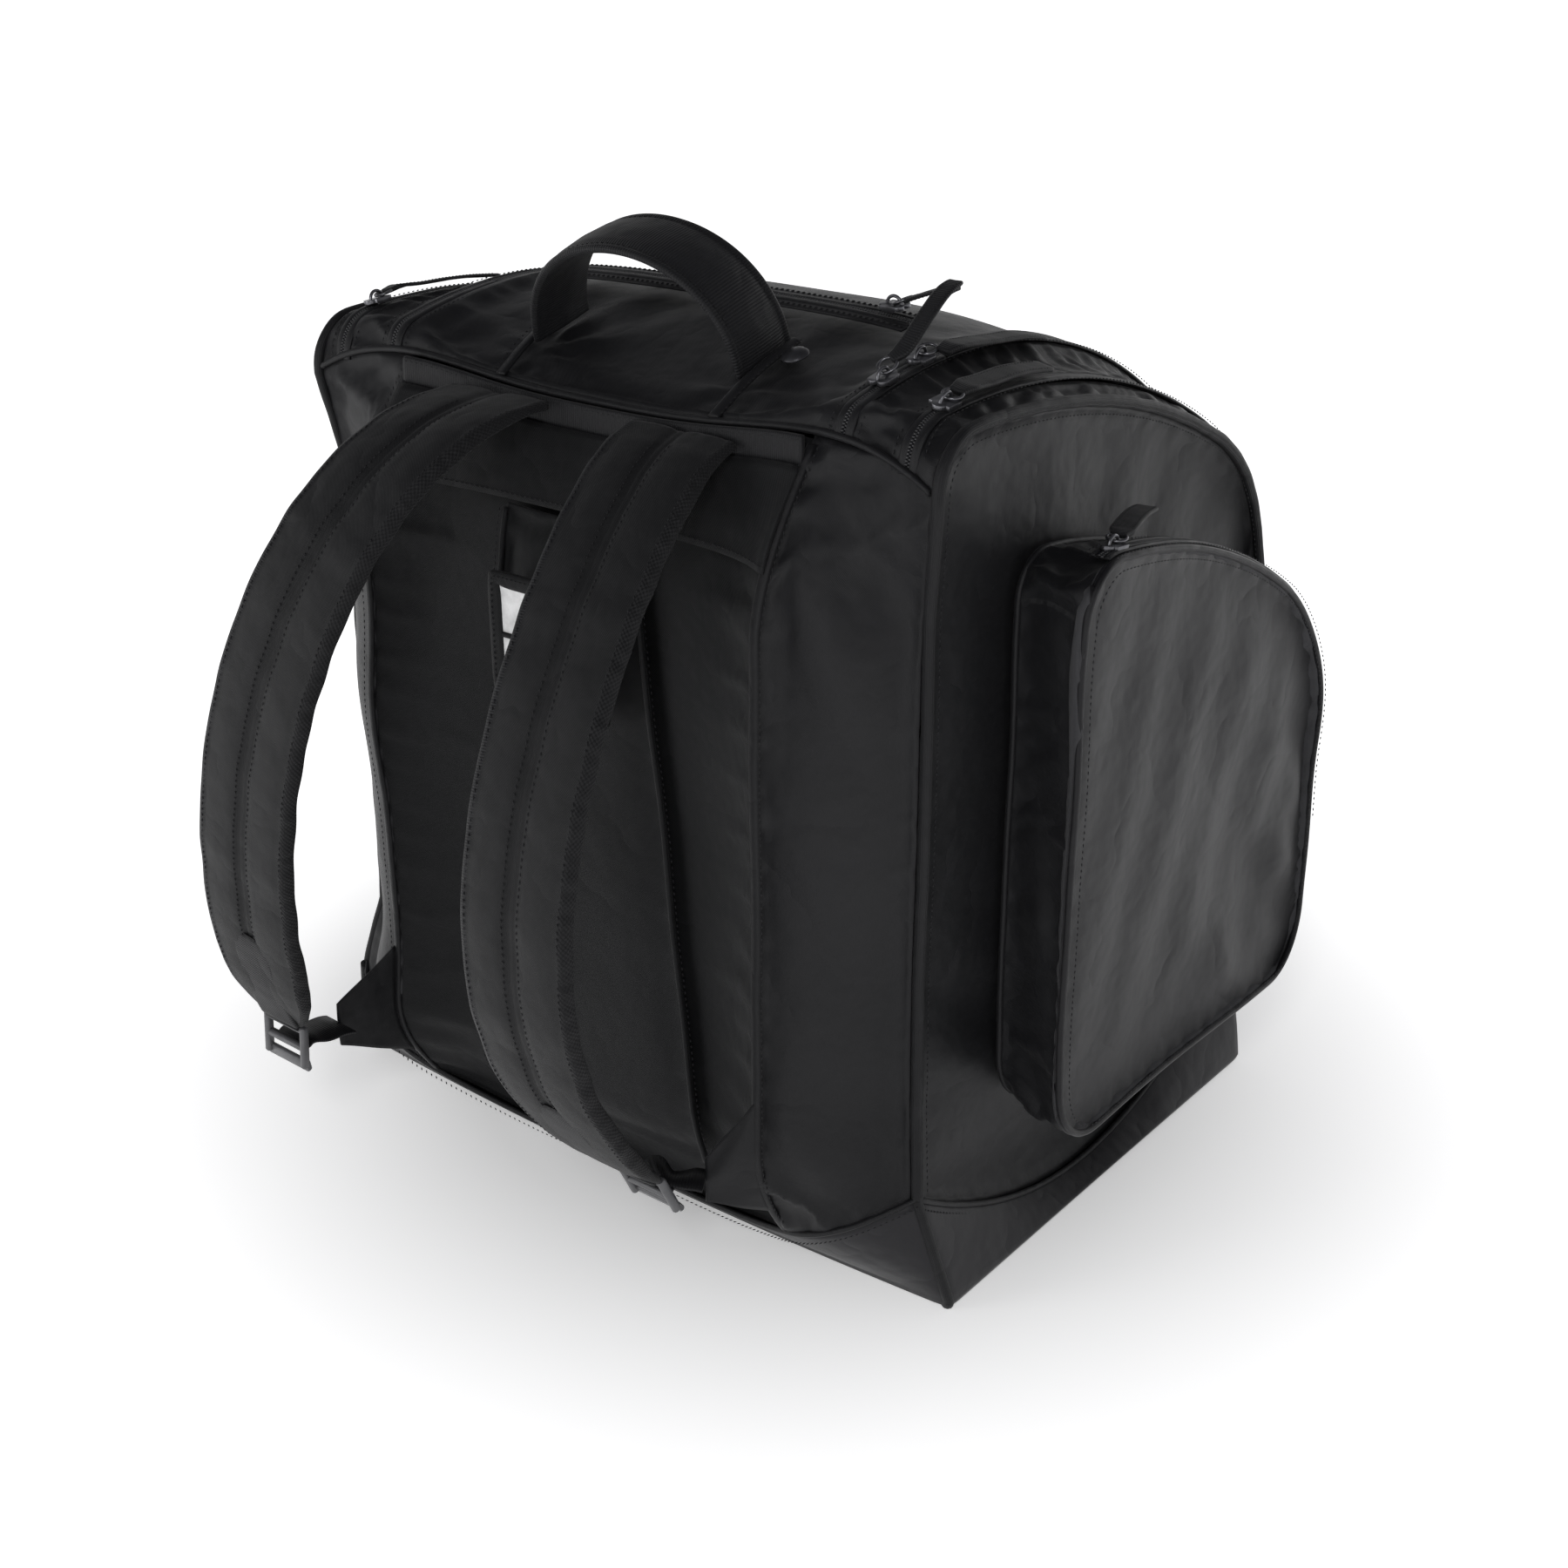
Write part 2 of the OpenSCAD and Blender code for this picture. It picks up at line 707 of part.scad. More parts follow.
// ---- side doors ----
side_x0 = pipe_x - 1;
side_x1 = side_x0 + wall;
module side_panel_right() {
    color(black)
        stand(side_x0, wall)
            polygon(side_outline(piping_inset));
}

module door_rim_right() {
    color(black)
        band(spread(rim_x0, rim_x1, 2), function(x, g) whole_arch(x, g, seam_z(0)));
}

// Piping: a round cord over the rear edge, the arch and the front edge.
module side_piping_right() {
    foot = seam_z(0) + 1;
    rear = [for (z = spread(foot, rear_corner(pipe_x)[1], 4)) [ends_at(pipe_x)[0], z]];
    line = concat(rear, tail(whole_arch(pipe_x, 0, foot)));
    n = len(line) - 1;
    way = function(i) unit(line[min(i + 1, n)] - line[max(i - 1, 0)]);
    ring_at = function(p, d) [for (k = [0:7]) let (c = piping_r * cos(45 * k), s = piping_r * sin(45 * k))
        [pipe_x + s, p[0] - d[1] * c, p[1] + d[0] * c]];
    rings = [for (i = [0:n]) ring_at(line[i], way(i))];
    color("#1f1f22")
        tube(rings);
}

module tube(rings) {
    n = len(rings);
    m = len(rings[0]);
    wall_faces = [for (i = [0:n - 2], k = [0:m - 1]) each quad(i * m + k, i * m + (k + 1) % m,
        (i + 1) * m + (k + 1) % m, (i + 1) * m + k)];
    polyhedron([for (r = rings) each r], concat(wall_faces, [[for (k = [m - 1:-1:0]) k]],
        [[for (k = [0:m - 1]) (n - 1) * m + k]]), convexity = 8);
}

module side_panel_left() {
    left_of_right()
        side_panel_right();
}

module door_rim_left() {
    left_of_right()
        door_rim_right();
}

module side_piping_left() {
    left_of_right()
        side_piping_right();
}

// ---- side pockets ----
gusset_x0 = side_x1 + 0.1;
flap_x0 = side_x1 + pocket_depth;
module pocket_gusset_right() {
    color(black)
        stand(gusset_x0, pocket_depth - 0.5)
            difference() {
                polygon(pocket_outline(0));
                polygon(pocket_outline(wall));
            }
}

module pocket_flap_right() {
    color("#2e2e32")
        stand(flap_x0, wall)
            polygon(pocket_outline(1));
}

module pocket_gusset_left() {
    left_of_right()
        pocket_gusset_right();
}

module pocket_flap_left() {
    left_of_right()
        pocket_flap_right();
}

pocket_slider_y = -86;
function pocket_top(y) = pocket_arc[1] + sqrt(pow(pocket_arc[2], 2) - pow(y - pocket_arc[0], 2));
module on_pocket() {
    translate([flap_x0 - 7, pocket_slider_y, pocket_top(pocket_slider_y)])
        rotate([-asin((pocket_slider_y - pocket_arc[0]) / pocket_arc[2]), 0, 0])
            children();
}

module slider_pocket_right() {
    color(metal)
        on_pocket()
            slider();
}

module pull_pocket_right() {
    color(black)
        on_pocket()
            translate([0, 0, pull_z])
                rotate([0, 0, 16])
                    rotate([6, 0, 0])
                        pull(58, 12);
}

module slider_pocket_left() {
    left_of_right()
        slider_pocket_right();
}

module pull_pocket_left() {
    left_of_right()
        pull_pocket_right();
}

harness_panel();
back_pad();
yoke_panel();
top_binding();
rear_wrap_right();
rear_wrap_left();
top_bridge();
handle_feet();
rivet();
top_rail_right();
top_rail_left();
front_panel();
base_tray();
base_board();
divider_right();
divider_left();
strap_roots();
webbing_tabs();
card_window();
name_card();
lid_panel();
lid_zip();
slider_lid_pocket();
pull_lid_pocket();
slider_lid_rear();
pull_lid_rear();
slider_lid_front();
pull_lid_front();
side_panel_right();
door_rim_right();
side_piping_right();
pocket_gusset_right();
side_panel_left();
door_rim_left();
side_piping_left();
pocket_gusset_left();
slider_door_right();
pull_door_right();
slider_door_left();
pull_door_left();
pocket_flap_right();
pocket_flap_left();
slider_pocket_right();
pull_pocket_right();
slider_pocket_left();
pull_pocket_left();
grab_handle();
shoulder_strap_right();
shoulder_strap_left();
strap_webbing_right();
strap_webbing_left();
ladder_lock_right();
ladder_lock_left();
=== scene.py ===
"""Looks of the ski boot bag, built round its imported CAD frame. Lengths are in millimetres until a mesh is made."""
import math

import bpy
import numpy as np
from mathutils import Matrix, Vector


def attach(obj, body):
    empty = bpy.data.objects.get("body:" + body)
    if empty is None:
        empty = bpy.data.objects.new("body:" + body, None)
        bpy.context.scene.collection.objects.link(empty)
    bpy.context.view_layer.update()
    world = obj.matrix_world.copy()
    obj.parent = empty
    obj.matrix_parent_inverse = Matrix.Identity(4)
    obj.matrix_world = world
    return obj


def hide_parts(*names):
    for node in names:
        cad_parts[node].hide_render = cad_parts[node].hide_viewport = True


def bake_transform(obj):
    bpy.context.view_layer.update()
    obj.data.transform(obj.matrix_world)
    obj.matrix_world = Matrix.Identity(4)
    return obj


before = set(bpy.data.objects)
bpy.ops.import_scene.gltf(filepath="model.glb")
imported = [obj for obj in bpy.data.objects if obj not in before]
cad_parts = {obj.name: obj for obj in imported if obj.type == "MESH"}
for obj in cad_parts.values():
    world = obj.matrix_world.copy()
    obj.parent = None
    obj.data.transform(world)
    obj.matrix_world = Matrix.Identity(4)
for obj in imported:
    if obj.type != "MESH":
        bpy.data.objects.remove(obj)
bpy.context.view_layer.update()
MM = 0.001
SIDES = ((1, "right"), (-1, "left"))
RNG = np.random.default_rng(11)

# ---------------------------------------------------------------- materials


def shader(name):
    mat = bpy.data.materials.new(name)
    mat.use_nodes = True
    tree = mat.node_tree
    return mat, tree, tree.nodes["Principled BSDF"]


def link(tree, a, b):
    tree.links.new(a, b)


def wave(tree, coord, axis, period):
    node = tree.nodes.new("ShaderNodeTexWave")
    node.bands_direction = axis
    node.inputs["Scale"].default_value = 2 * math.pi / (20 * period)
    link(tree, coord, node.inputs["Vector"])
    return node.outputs["Fac"]


def maths(tree, op, *values):
    node = tree.nodes.new("ShaderNodeMath")
    node.operation = op
    for i, v in enumerate(values):
        if isinstance(v, (int, float)):
            node.inputs[i].default_value = v
        else:
            link(tree, v, node.inputs[i])
    return node.outputs[0]


def noise(tree, coord, scale, detail=4, rough=0.55):
    node = tree.nodes.new("ShaderNodeTexNoise")
    node.inputs["Scale"].default_value = scale
    node.inputs["Detail"].default_value = detail
    node.inputs["Roughness"].default_value = rough
    link(tree, coord, node.inputs["Vector"])
    return node.outputs["Fac"]


def ramp(tree, fac, stops):
    node = tree.nodes.new("ShaderNodeValToRGB")
    while len(node.color_ramp.elements) < len(stops):
        node.color_ramp.elements.new(0.5)
    for e, (pos, col) in zip(node.color_ramp.elements, stops):
        e.position = pos
        e.color = (*col, 1)
    link(tree, fac, node.inputs["Fac"])
    return node.outputs["Color"]


def between(tree, fac, low, high, start=0.0, stop=1.0):
    """Maps start to stop onto low to high."""
    node = tree.nodes.new("ShaderNodeMapRange")
    for key, value in (("From Min", start), ("From Max", stop), ("To Min", low), ("To Max", high)):
        node.inputs[key].default_value = value
    link(tree, fac, node.inputs["Value"])
    return node.outputs["Result"]


def bump(tree, height, distance, strength=1.0, below=None):
    node = tree.nodes.new("ShaderNodeBump")
    node.inputs["Distance"].default_value = distance
    node.inputs["Strength"].default_value = strength
    link(tree, height, node.inputs["Height"])
    if below is not None:
        link(tree, below, node.inputs["Normal"])
    return node.outputs["Normal"]


def cloth_material(name, tint, rough, thread=0.8, relief=0.10, sheen=0.25, patchy=0.16, rib=None, crease=0.5):
    """Woven cloth: threads both ways, or ribs one way, with uneven dye, fine creases and a soft sheen."""
    mat, tree, out = shader(name)
    coords = tree.nodes.new("ShaderNodeTexCoord")
    uv, place = coords.outputs["UV"], coords.outputs["Object"]
    if rib:
        threads = wave(tree, uv, rib, thread * MM)
        cross = wave(tree, uv, "Y" if rib == "X" else "X", thread * 0.45 * MM)
        threads = maths(tree, "ADD", threads, maths(tree, "MULTIPLY", cross, 0.3))
    else:
        warp = wave(tree, uv, "X", thread * MM)
        weft = wave(tree, uv, "Y", thread * MM)
        over = maths(tree, "MULTIPLY", warp, weft)
        under = maths(tree, "MULTIPLY", maths(tree, "SUBTRACT", 1.0, warp), maths(tree, "SUBTRACT", 1.0, weft))
        threads = maths(tree, "ADD", over, under)
    creases = noise(tree, place, 55, 5, 0.6)
    patches = noise(tree, place, 9, 3, 0.6)
    fine = noise(tree, place, 600, 2, 0.5)
    mix = maths(tree, "ADD", maths(tree, "MULTIPLY", patches, 0.6), maths(tree, "MULTIPLY", fine, 0.4))
    low = [c * (1 - patchy) for c in tint]
    high = [min(c * (1 + patchy), 1) for c in tint]
    base = ramp(tree, mix, [(0.35, low), (0.65, high)])
    shade = tree.nodes.new("ShaderNodeMix")
    shade.data_type = "RGBA"
    shade.blend_type = "MULTIPLY"
    shade.inputs["Factor"].default_value = 1.0
    dark = ramp(tree, threads, [(0.1, (0.72, 0.72, 0.72)), (0.7, (1, 1, 1))])
    link(tree, base, shade.inputs[6])
    link(tree, dark, shade.inputs[7])
    link(tree, shade.outputs[2], out.inputs["Base Color"])
    link(tree, between(tree, patches, rough - 0.07, rough + 0.07), out.inputs["Roughness"])
    ridged = maths(tree, "ABSOLUTE", maths(tree, "SUBTRACT", noise(tree, place, 19, 3, 0.5), 0.5))
    soft = bump(tree, creases, 0.0008, crease, bump(tree, ridged, 0.011, crease))
    link(tree, bump(tree, threads, relief * MM, 0.8, soft), out.inputs["Normal"])
    out.inputs["Sheen Weight"].default_value = sheen
    out.inputs["Sheen Roughness"].default_value = 0.45
    out.inputs["Specular IOR Level"].default_value = 0.20
    return mat


def hard_material(name, tint, rough, metallic=0.0, grain=900, relief=0.02):
    """Moulded plastic or plated metal with fine grain and slight wear in its gloss."""
    mat, tree, out = shader(name)
    coords = tree.nodes.new("ShaderNodeTexCoord")
    place = coords.outputs["Object"]
    worn = noise(tree, place, 130, 5, 0.65)
    base = ramp(tree, worn, [(0.3, [c * 0.8 for c in tint]), (0.7, [min(c * 1.2, 1) for c in tint])])
    link(tree, base, out.inputs["Base Color"])
    link(tree, between(tree, worn, rough - 0.08, rough + 0.12), out.inputs["Roughness"])
    link(tree, bump(tree, noise(tree, place, grain, 3, 0.6), relief * MM, 0.7), out.inputs["Normal"])
    out.inputs["Metallic"].default_value = metallic
    return mat


NYLON = cloth_material("nylon", (0.0078, 0.0078, 0.0090), 0.42, 0.75, 0.10, 0.03)
POCKET = cloth_material("pocket_nylon", (0.0055, 0.0053, 0.0066), 0.40, 0.75, 0.10, 0.03)
HARNESS = cloth_material("harness_cloth", (0.0052, 0.0054, 0.0062), 0.62, 1.1, 0.16, 0.04)
STRAP = cloth_material("strap_cloth", (0.0068, 0.0069, 0.0077), 0.58, 0.9, 0.14, 0.05)
MESH_EDGE = cloth_material("strap_mesh", (0.0085, 0.0085, 0.0095), 0.75, 2.4, 0.5, 0.04)
BINDING = cloth_material("binding", (0.0085, 0.0085, 0.0098), 0.55, 1.3, 0.16, 0.05, rib="X")
WEBBING = cloth_material("webbing", (0.0072, 0.0072, 0.0085), 0.55, 1.5, 0.22, 0.05, rib="X")
PIPING = cloth_material("piping", (0.0062, 0.0062, 0.0073), 0.5, 0.9, 0.12, 0.03, rib="Y")
COATED = cloth_material("coated_base", (0.0150, 0.0146, 0.0168), 0.42, 0.5, 0.04, 0.02, patchy=0.10, crease=0.35)
LINING = cloth_material("lining", (0.035, 0.035, 0.038), 0.7, 0.6, 0.08, 0.05)
TAPE = cloth_material("zip_tape", (0.0065, 0.0065, 0.0075), 0.7, 1.0, 0.14, 0.02, rib="X")
THREAD = cloth_material("thread", (0.012, 0.012, 0.0135), 0.6, 0.4, 0.04, 0.03)
COIL = hard_material("zip_coil", (0.014, 0.014, 0.016), 0.34)
METAL = hard_material("zip_metal", (0.13, 0.13, 0.14), 0.28, 0.9)
RIVET = hard_material("rivet_metal", (0.045, 0.045, 0.05), 0.32, 0.7)
PLASTIC = hard_material("buckle", (0.075, 0.075, 0.08), 0.36, 0.0, 500, 0.03)
BOARD = hard_material("stiffener", (0.02, 0.02, 0.022), 0.6)
CARD = hard_material("card", (0.78, 0.78, 0.78), 0.45)

# ---------------------------------------------------------------- the bag's surface

PIPE_X, SEAM_X, LID_ZIP_X, DOOR_ZIP_X = 201.0, 130.0, 146.0, 183.0
SIDE_X = PIPE_X - 1.5
REAR_Y, FRONT_Y = -172.0, 155.0
SIDE_DEPTH = FRONT_Y - REAR_Y
PIPE_END, PIPE_R = 71.0, 3.1
SEAM_LOW, CORNER_RISE, CORNER_REACH = 10, 60, 165
REAR_SWELL, HARNESS_DIP, SWELL_FADE = 46, 16, 90
PAD_HALF, PAD_NARROWS = 78, 32
X, Y, Z = np.eye(3)
LID_FOLD, LID_END, LID_BEND = -97.0, 190.0, 22.0
BASE_W, BASE_D, EDGE_BOW = 215.0, 160.0, 8.0
SIDE_ARC, MID_ARC = np.array([-130.0, -18.0, 475.0]), np.array([-40.0, 260.0, 221.3])
SIDE_ENDS, MID_ENDS = np.array([REAR_Y, 28.0, FRONT_Y, 128.0]), np.array([-164.0, 8.0, 175.0, 120.0])
ZIP_HALF = 4.0
RIVET_XY = (84.0, -122.0)


def crown(x):
    """1 on the bag's middle line and 0 at the piping."""
    return 1 - min(abs(x) / PIPE_X, 1) ** 3


def arc_at(x):
    return SIDE_ARC + (MID_ARC - SIDE_ARC) * crown(x)


def ends_at(x):
    return SIDE_ENDS + (MID_ENDS - SIDE_ENDS) * crown(x)


def corner(a, y, r):
    """Centre (y, z) of a rounded corner of radius r that touches the arc a from inside."""
    return np.array([y, a[1] + math.sqrt((a[2] - r) ** 2 - (y - a[0]) ** 2)])


def corners(a, e):
    """Centres of the two corners that join an arc to its upright ends, and the angles where they meet it."""
    rear, front = corner(a, e[0] + e[1], e[1]), corner(a, e[2] - e[3], e[3])
    return rear, front, *(math.atan2(c[1] - a[1], c[0] - a[0]) for c in (rear, front))


def turn(c, r, a0, a1, n):
    t = np.linspace(a0, a1, n)
    return np.stack([c[0] + r * np.cos(t), c[1] + r * np.sin(t)], -1)


def section(x, z_end, y_start=None, y_stop=None):
    """The bag's outline at x as points (y, z), from the rear over the top and down the front."""
    a, e = arc_at(x), ends_at(x)
    rear, front, h_rear, h_front = corners(a, e)
    parts = []
    if y_start is None:
        parts.append(turn(rear, e[1], math.pi, h_rear, 12))
    else:
        h_rear = math.acos((y_start - a[0]) / a[2])
    if y_stop is not None:
        parts.append(turn(a[:2], a[2], h_rear, math.acos((y_stop - a[0]) / a[2]), 20))
        return tidy(np.concatenate(parts))
    parts.append(turn(a[:2], a[2], h_rear, h_front, 60))
    parts.append(turn(front, e[3], h_front, 0, 40))
    z = np.linspace(front[1], z_end, 30)
    parts.append(np.stack([np.full(30, e[2]), z], -1))
    return tidy(np.concatenate(parts))


def tidy(line):
    keep = np.r_[True, np.linalg.norm(np.diff(line, axis=0), axis=1) > 1e-6]
    return line[keep]


def distances(line):
    """How far along a line each of its points is."""
    return np.r_[0, np.cumsum(np.linalg.norm(np.diff(line, axis=0), axis=1))]


def between_points(t, d, values):
    """Values at the distances t, from those at the distances d."""
    return np.stack([np.interp(t, d, values[:, k]) for k in range(values.shape[1])], -1)


def resample(line, n, closed=False):
    line = np.asarray(line, float)
    if closed:
        line = np.vstack([line, line[:1]])
    d = distances(line)
    t = np.linspace(0, d[-1], n + 1)[:-1] if closed else np.linspace(0, d[-1], n)
    return between_points(t, d, line)


def cut_corners(route, times):
    """A rounded route along a given one: each pass cuts every corner."""
    for _ in range(times):
        new = [route[0]]
        for a, b in zip(route[:-1], route[1:]):
            new += [a * 0.75 + b * 0.25, a * 0.25 + b * 0.75]
        route = np.array(new + [route[-1]])
    return route


def length_of(line):
    return np.linalg.norm(np.diff(line, axis=0), axis=1).sum()


def top_z(x, y):
    a = arc_at(x)
    return a[1] + math.sqrt(a[2] ** 2 - (y - a[0]) ** 2)


def wall_top(x):
    e = ends_at(x)
    return corner(arc_at(x), e[0] + e[1], e[1])[1]


def seam_z(d):
    """Height of the base seam at a distance from a corner, where the tray is turned up."""
    return SEAM_LOW + CORNER_RISE * max(1 - d / CORNER_REACH, 0) ** 2


def foot_z(x):
    return seam_z(BASE_W * (1 - abs(x) / SIDE_X))


def swell(x):
    return 1.0 if abs(x) <= SEAM_X else 1 - ((abs(x) - SEAM_X) / (PIPE_X - SEAM_X)) ** 2


def rise(z, z_top):
    """0 at the floor and at z_top, and 1 between them."""
    high = math.sin(math.pi / 2 * min(max((z_top - z) / SWELL_FADE, 0), 1))
    return high * math.sin(math.pi / 2 * min(z / SWELL_FADE, 1))


def rear_y(x, z):
    return ends_at(x)[0] - REAR_SWELL * swell(x) * rise(z, wall_top(x))


def panel_y(x, z):
    return rear_y(x, z) + HARNESS_DIP * rise(z, wall_top(x)) * (1 - (min(abs(x) / SEAM_X, 1)) ** 6)


def pad_half(z):
    return PAD_HALF - PAD_NARROWS * min(max((z - 60) / 300, 0), 1)


def soften(p):
    """Moves points the way soft cloth settles: rear corners drawn in, and slow swells over the panels."""
    p = np.array(p, float)
    x, y, z = p[..., 0], p[..., 1], p[..., 2]
    band = np.clip((z - 70) / 45, 0, 1) * np.clip((428 - z) / 60, 0, 1)
    near = np.exp(-((np.abs(x) - PIPE_X) / 34) ** 2) * np.exp(-((y - REAR_Y) / 46) ** 2) * band
    lean = np.where(x < 0, 1.35, 0.8)
    dx = -np.sign(x) * 8.5 * near * lean
    dy = 6.5 * near
    low = np.clip((440 - z) / 60, 0, 1) * np.clip((z - 12) / 40, 0, 1)
    outer = np.clip((np.hypot(x / BASE_W, y / 180) - 0.5) * 3, 0, 1)
    swells = np.sin(z / 27 + x / 61 + 0.6) + 0.7 * np.sin(z / 41 - y / 38 + 1.9)
    swells = swells + 0.5 * np.sin(z / 15.5 + y / 33 + x / 47)
    amount = 0.9 * swells * low * outer
    p[..., 0] += dx + amount * x / BASE_W
    p[..., 1] += dy + amount * y / 180
    return p


# ---------------------------------------------------------------- mesh helpers


def new_mesh(name, verts, faces, mats, index=None, uv=None):
    mesh = bpy.data.meshes.new(name)
    mesh.from_pydata((np.asarray(verts, float) * MM).tolist(), [], faces)
    for m in mats:
        mesh.materials.append(m)
    if index is not None:
        mesh.polygons.foreach_set("material_index", np.asarray(index, np.int32))
    if uv is not None:
        layer = mesh.uv_layers.new(name="UVMap")
        loops = np.zeros(len(mesh.loops), np.int32)
        mesh.loops.foreach_get("vertex_index", loops)
        layer.data.foreach_set("uv", np.asarray(uv, np.float32)[loops].ravel() * MM)
    mesh.polygons.foreach_set("use_smooth", np.ones(len(mesh.polygons), bool))
    mesh.update()
    obj = bpy.data.objects.new(name, mesh)
    bpy.context.scene.collection.objects.link(obj)
    return obj


def quads(n, m, wrap=False, start=0, flip=False):
    i, j = np.meshgrid(np.arange(n - 1), np.arange(m if wrap else m - 1), indexing="ij")
    k = (j + 1) % m
    q = np.stack([i * m + j, i * m + k, (i + 1) * m + k, (i + 1) * m + j], -1).reshape(-1, 4) + start
    return q[:, ::-1] if flip else q


def grid_normals(p, wrap=False):
    du = np.gradient(p, axis=0)
    dv = (np.roll(p, -1, 1) - np.roll(p, 1, 1)) if wrap else np.gradient(p, axis=1)
    n = np.cross(du, dv)
    return n / np.maximum(np.linalg.norm(n, axis=-1, keepdims=True), 1e-9)


def grid_uv(p):
    a = np.cumsum(np.r_[0, np.linalg.norm(np.diff(p, axis=0), axis=-1).mean(1)])
    b = np.cumsum(np.r_[0, np.linalg.norm(np.diff(p, axis=1), axis=-1).mean(0)])
    return np.stack(np.meshgrid(a, b, indexing="ij"), -1).reshape(-1, 2)


def shell(name, p, thick, mats, wrap=False):
    """A sheet with an outer face on the grid and an inner face behind it. mats is (outer, inner)."""
    n, m = p.shape[:2]
    inner = p - grid_normals(p, wrap) * thick
    verts = np.concatenate([p.reshape(-1, 3), inner.reshape(-1, 3)])
    size = n * m
    front, back = quads(n, m, wrap), quads(n, m, wrap, size, True)
    edges = [(j, j + 1) for j in range(m - 1)] + [(m - 1, 0)] * wrap
    rim = []
    for a, b in edges:
        rim.append((b, a, a + size, b + size))
        top = (n - 1) * m
        rim.append((top + a, top + b, top + b + size, top + a + size))
    if not wrap:
        for i in range(n - 1):
            a, b = i * m, (i + 1) * m
            rim.append((a, b, b + size, a + size))
            a, b = a + m - 1, b + m - 1
            rim.append((b, a, a + size, b + size))
    faces = [tuple(f) for f in front] + [tuple(f) for f in back] + rim
    index = [0] * len(front) + [1 if len(mats) > 1 else 0] * len(back) + [0] * len(rim)
    uv = grid_uv(p)
    return new_mesh(name, verts, faces, mats, index, np.concatenate([uv, uv]))


def sweep(name, line, side, up, profile, mats, closed=True, caps=True, widths=None, index_of=None):
    """A profile of (across, out) pairs carried along a line. side and up are unit vectors, one or one a point."""
    line = np.asarray(line, float)
    side, up = (np.broadcast_to(v, line.shape) for v in (side, up))
    prof = np.asarray(profile, float)
    if prof.ndim == 2:
        prof = np.repeat(prof[None], len(line), 0)
    if widths is not None:
        prof = prof * np.asarray(widths)[:, None, None]
    p = line[:, None] + side[:, None] * prof[..., :1] + up[:, None] * prof[..., 1:]
    n, m = p.shape[:2]
    faces = [tuple(f) for f in quads(n, m, closed)]
    index = [0] * len(faces)
    if index_of is not None:
        index = [index_of(i // (m if closed else m - 1), i % (m if closed else m - 1)) for i in range(len(faces))]
    if closed and caps:
        faces += [tuple(range(m))[::-1], tuple((n - 1) * m + k for k in range(m))]
        index += [0, 0]
    return new_mesh(name, p.reshape(-1, 3), faces, mats, index, grid_uv(p))


def directions(line):
    d = np.gradient(np.asarray(line, float), axis=0)
    return d / np.maximum(np.linalg.norm(d, axis=1, keepdims=True), 1e-9)


def unit(v):
    v = np.asarray(v, float)
    return v / np.maximum(np.linalg.norm(v, axis=-1, keepdims=True), 1e-9)


def circle(r, n=10):
    t = np.linspace(0, 2 * math.pi, n, endpoint=False)
    return np.stack([r * np.cos(t), r * np.sin(t)], -1)


def mirrored(half, middle=None):
    """A profile from its left half and, where it has one, the height of its middle point."""
    return half + ([] if middle is None else [(0, middle)]) + [(-a, b) for a, b in half[::-1]]


def place(obj, body, slot, *nodes):
    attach(obj, body)
    if nodes:
        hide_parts(*nodes)
    return obj


SEW = []


def stitch(body, line, up, pitch=3.4, length=2.5, wide=0.42, lift=0.15):
    """Remembers a row of stitches along a line; they become one mesh for each body."""
    line = np.asarray(line, float)
    total = length_of(line)
    n = max(int(total / pitch), 2)
    d = distances(line)
    t = (np.arange(n) + 0.5) / n * total
    at = between_points(t, d, line)
    out = unit(between_points(t, d, np.broadcast_to(np.asarray(up, float), line.shape)))
    way = between_points(t, d, directions(line))
    way = unit(way - out * (way * out).sum(1, keepdims=True))
    SEW.append((body, at + out * lift, way, out, length, wide))


def sew_all():
    for body in sorted({s[0] for s in SEW}):
        verts, faces = [], []
        for _, at, way, out, length, wide in [s for s in SEW if s[0] == body]:
            side = np.cross(way, out)
            ring = [side * wide, out * wide, -side * wide, -out * wide]
            block = np.stack([at - way * length / 2] + [at + r for r in ring] + [at + way * length / 2], 1)
            base = sum(len(v) for v in verts)
            verts.append(block.reshape(-1, 3))
            for i in range(len(at)):
                o = base + i * 6
                for k in range(4):
                    a, b = o + 1 + k, o + 1 + (k + 1) % 4
                    faces += [(o, b, a), (o + 5, a, b)]
        obj = new_mesh("stitches_" + body, np.concatenate(verts), faces, [THREAD])
        place(obj, body, "nylon")


# ---------------------------------------------------------------- cloth panels, first as flat grids

PANELS = {}


def panel(name, p, pins=2, towards=None, slack=1.0):
    """Registers a grid of points as cloth. The outer pins rows and columns are held where they are sewn."""
    p = soften(p)
    out = unit(np.asarray(towards, float)) if towards is not None else None
    n = grid_normals(p)
    ref = out if out is not None else unit(p - np.array([0, 0, 230.0]))
    if (n * ref).sum(-1).mean() < 0:
        p = p[::-1]
    held = np.zeros(p.shape[:2], bool)
    held[:pins] = held[-pins:] = True
    held[:, :pins] = held[:, -pins:] = True
    PANELS[name] = [p, held, slack]
    return p


def over_top(xs, n, z_end, **k):
    rows = []
    for x in xs:
        line = resample(section(x, z_end(x) if callable(z_end) else z_end, **k), n)
        rows.append(np.column_stack([np.full(n, x), line]))
    return np.array(rows)


def rear_wall(xs, y_of, z0, z1, n):
    return np.array([[[x, y_of(x, z), z] for z in np.linspace(z0(x), z1(x), n)] for x in xs])


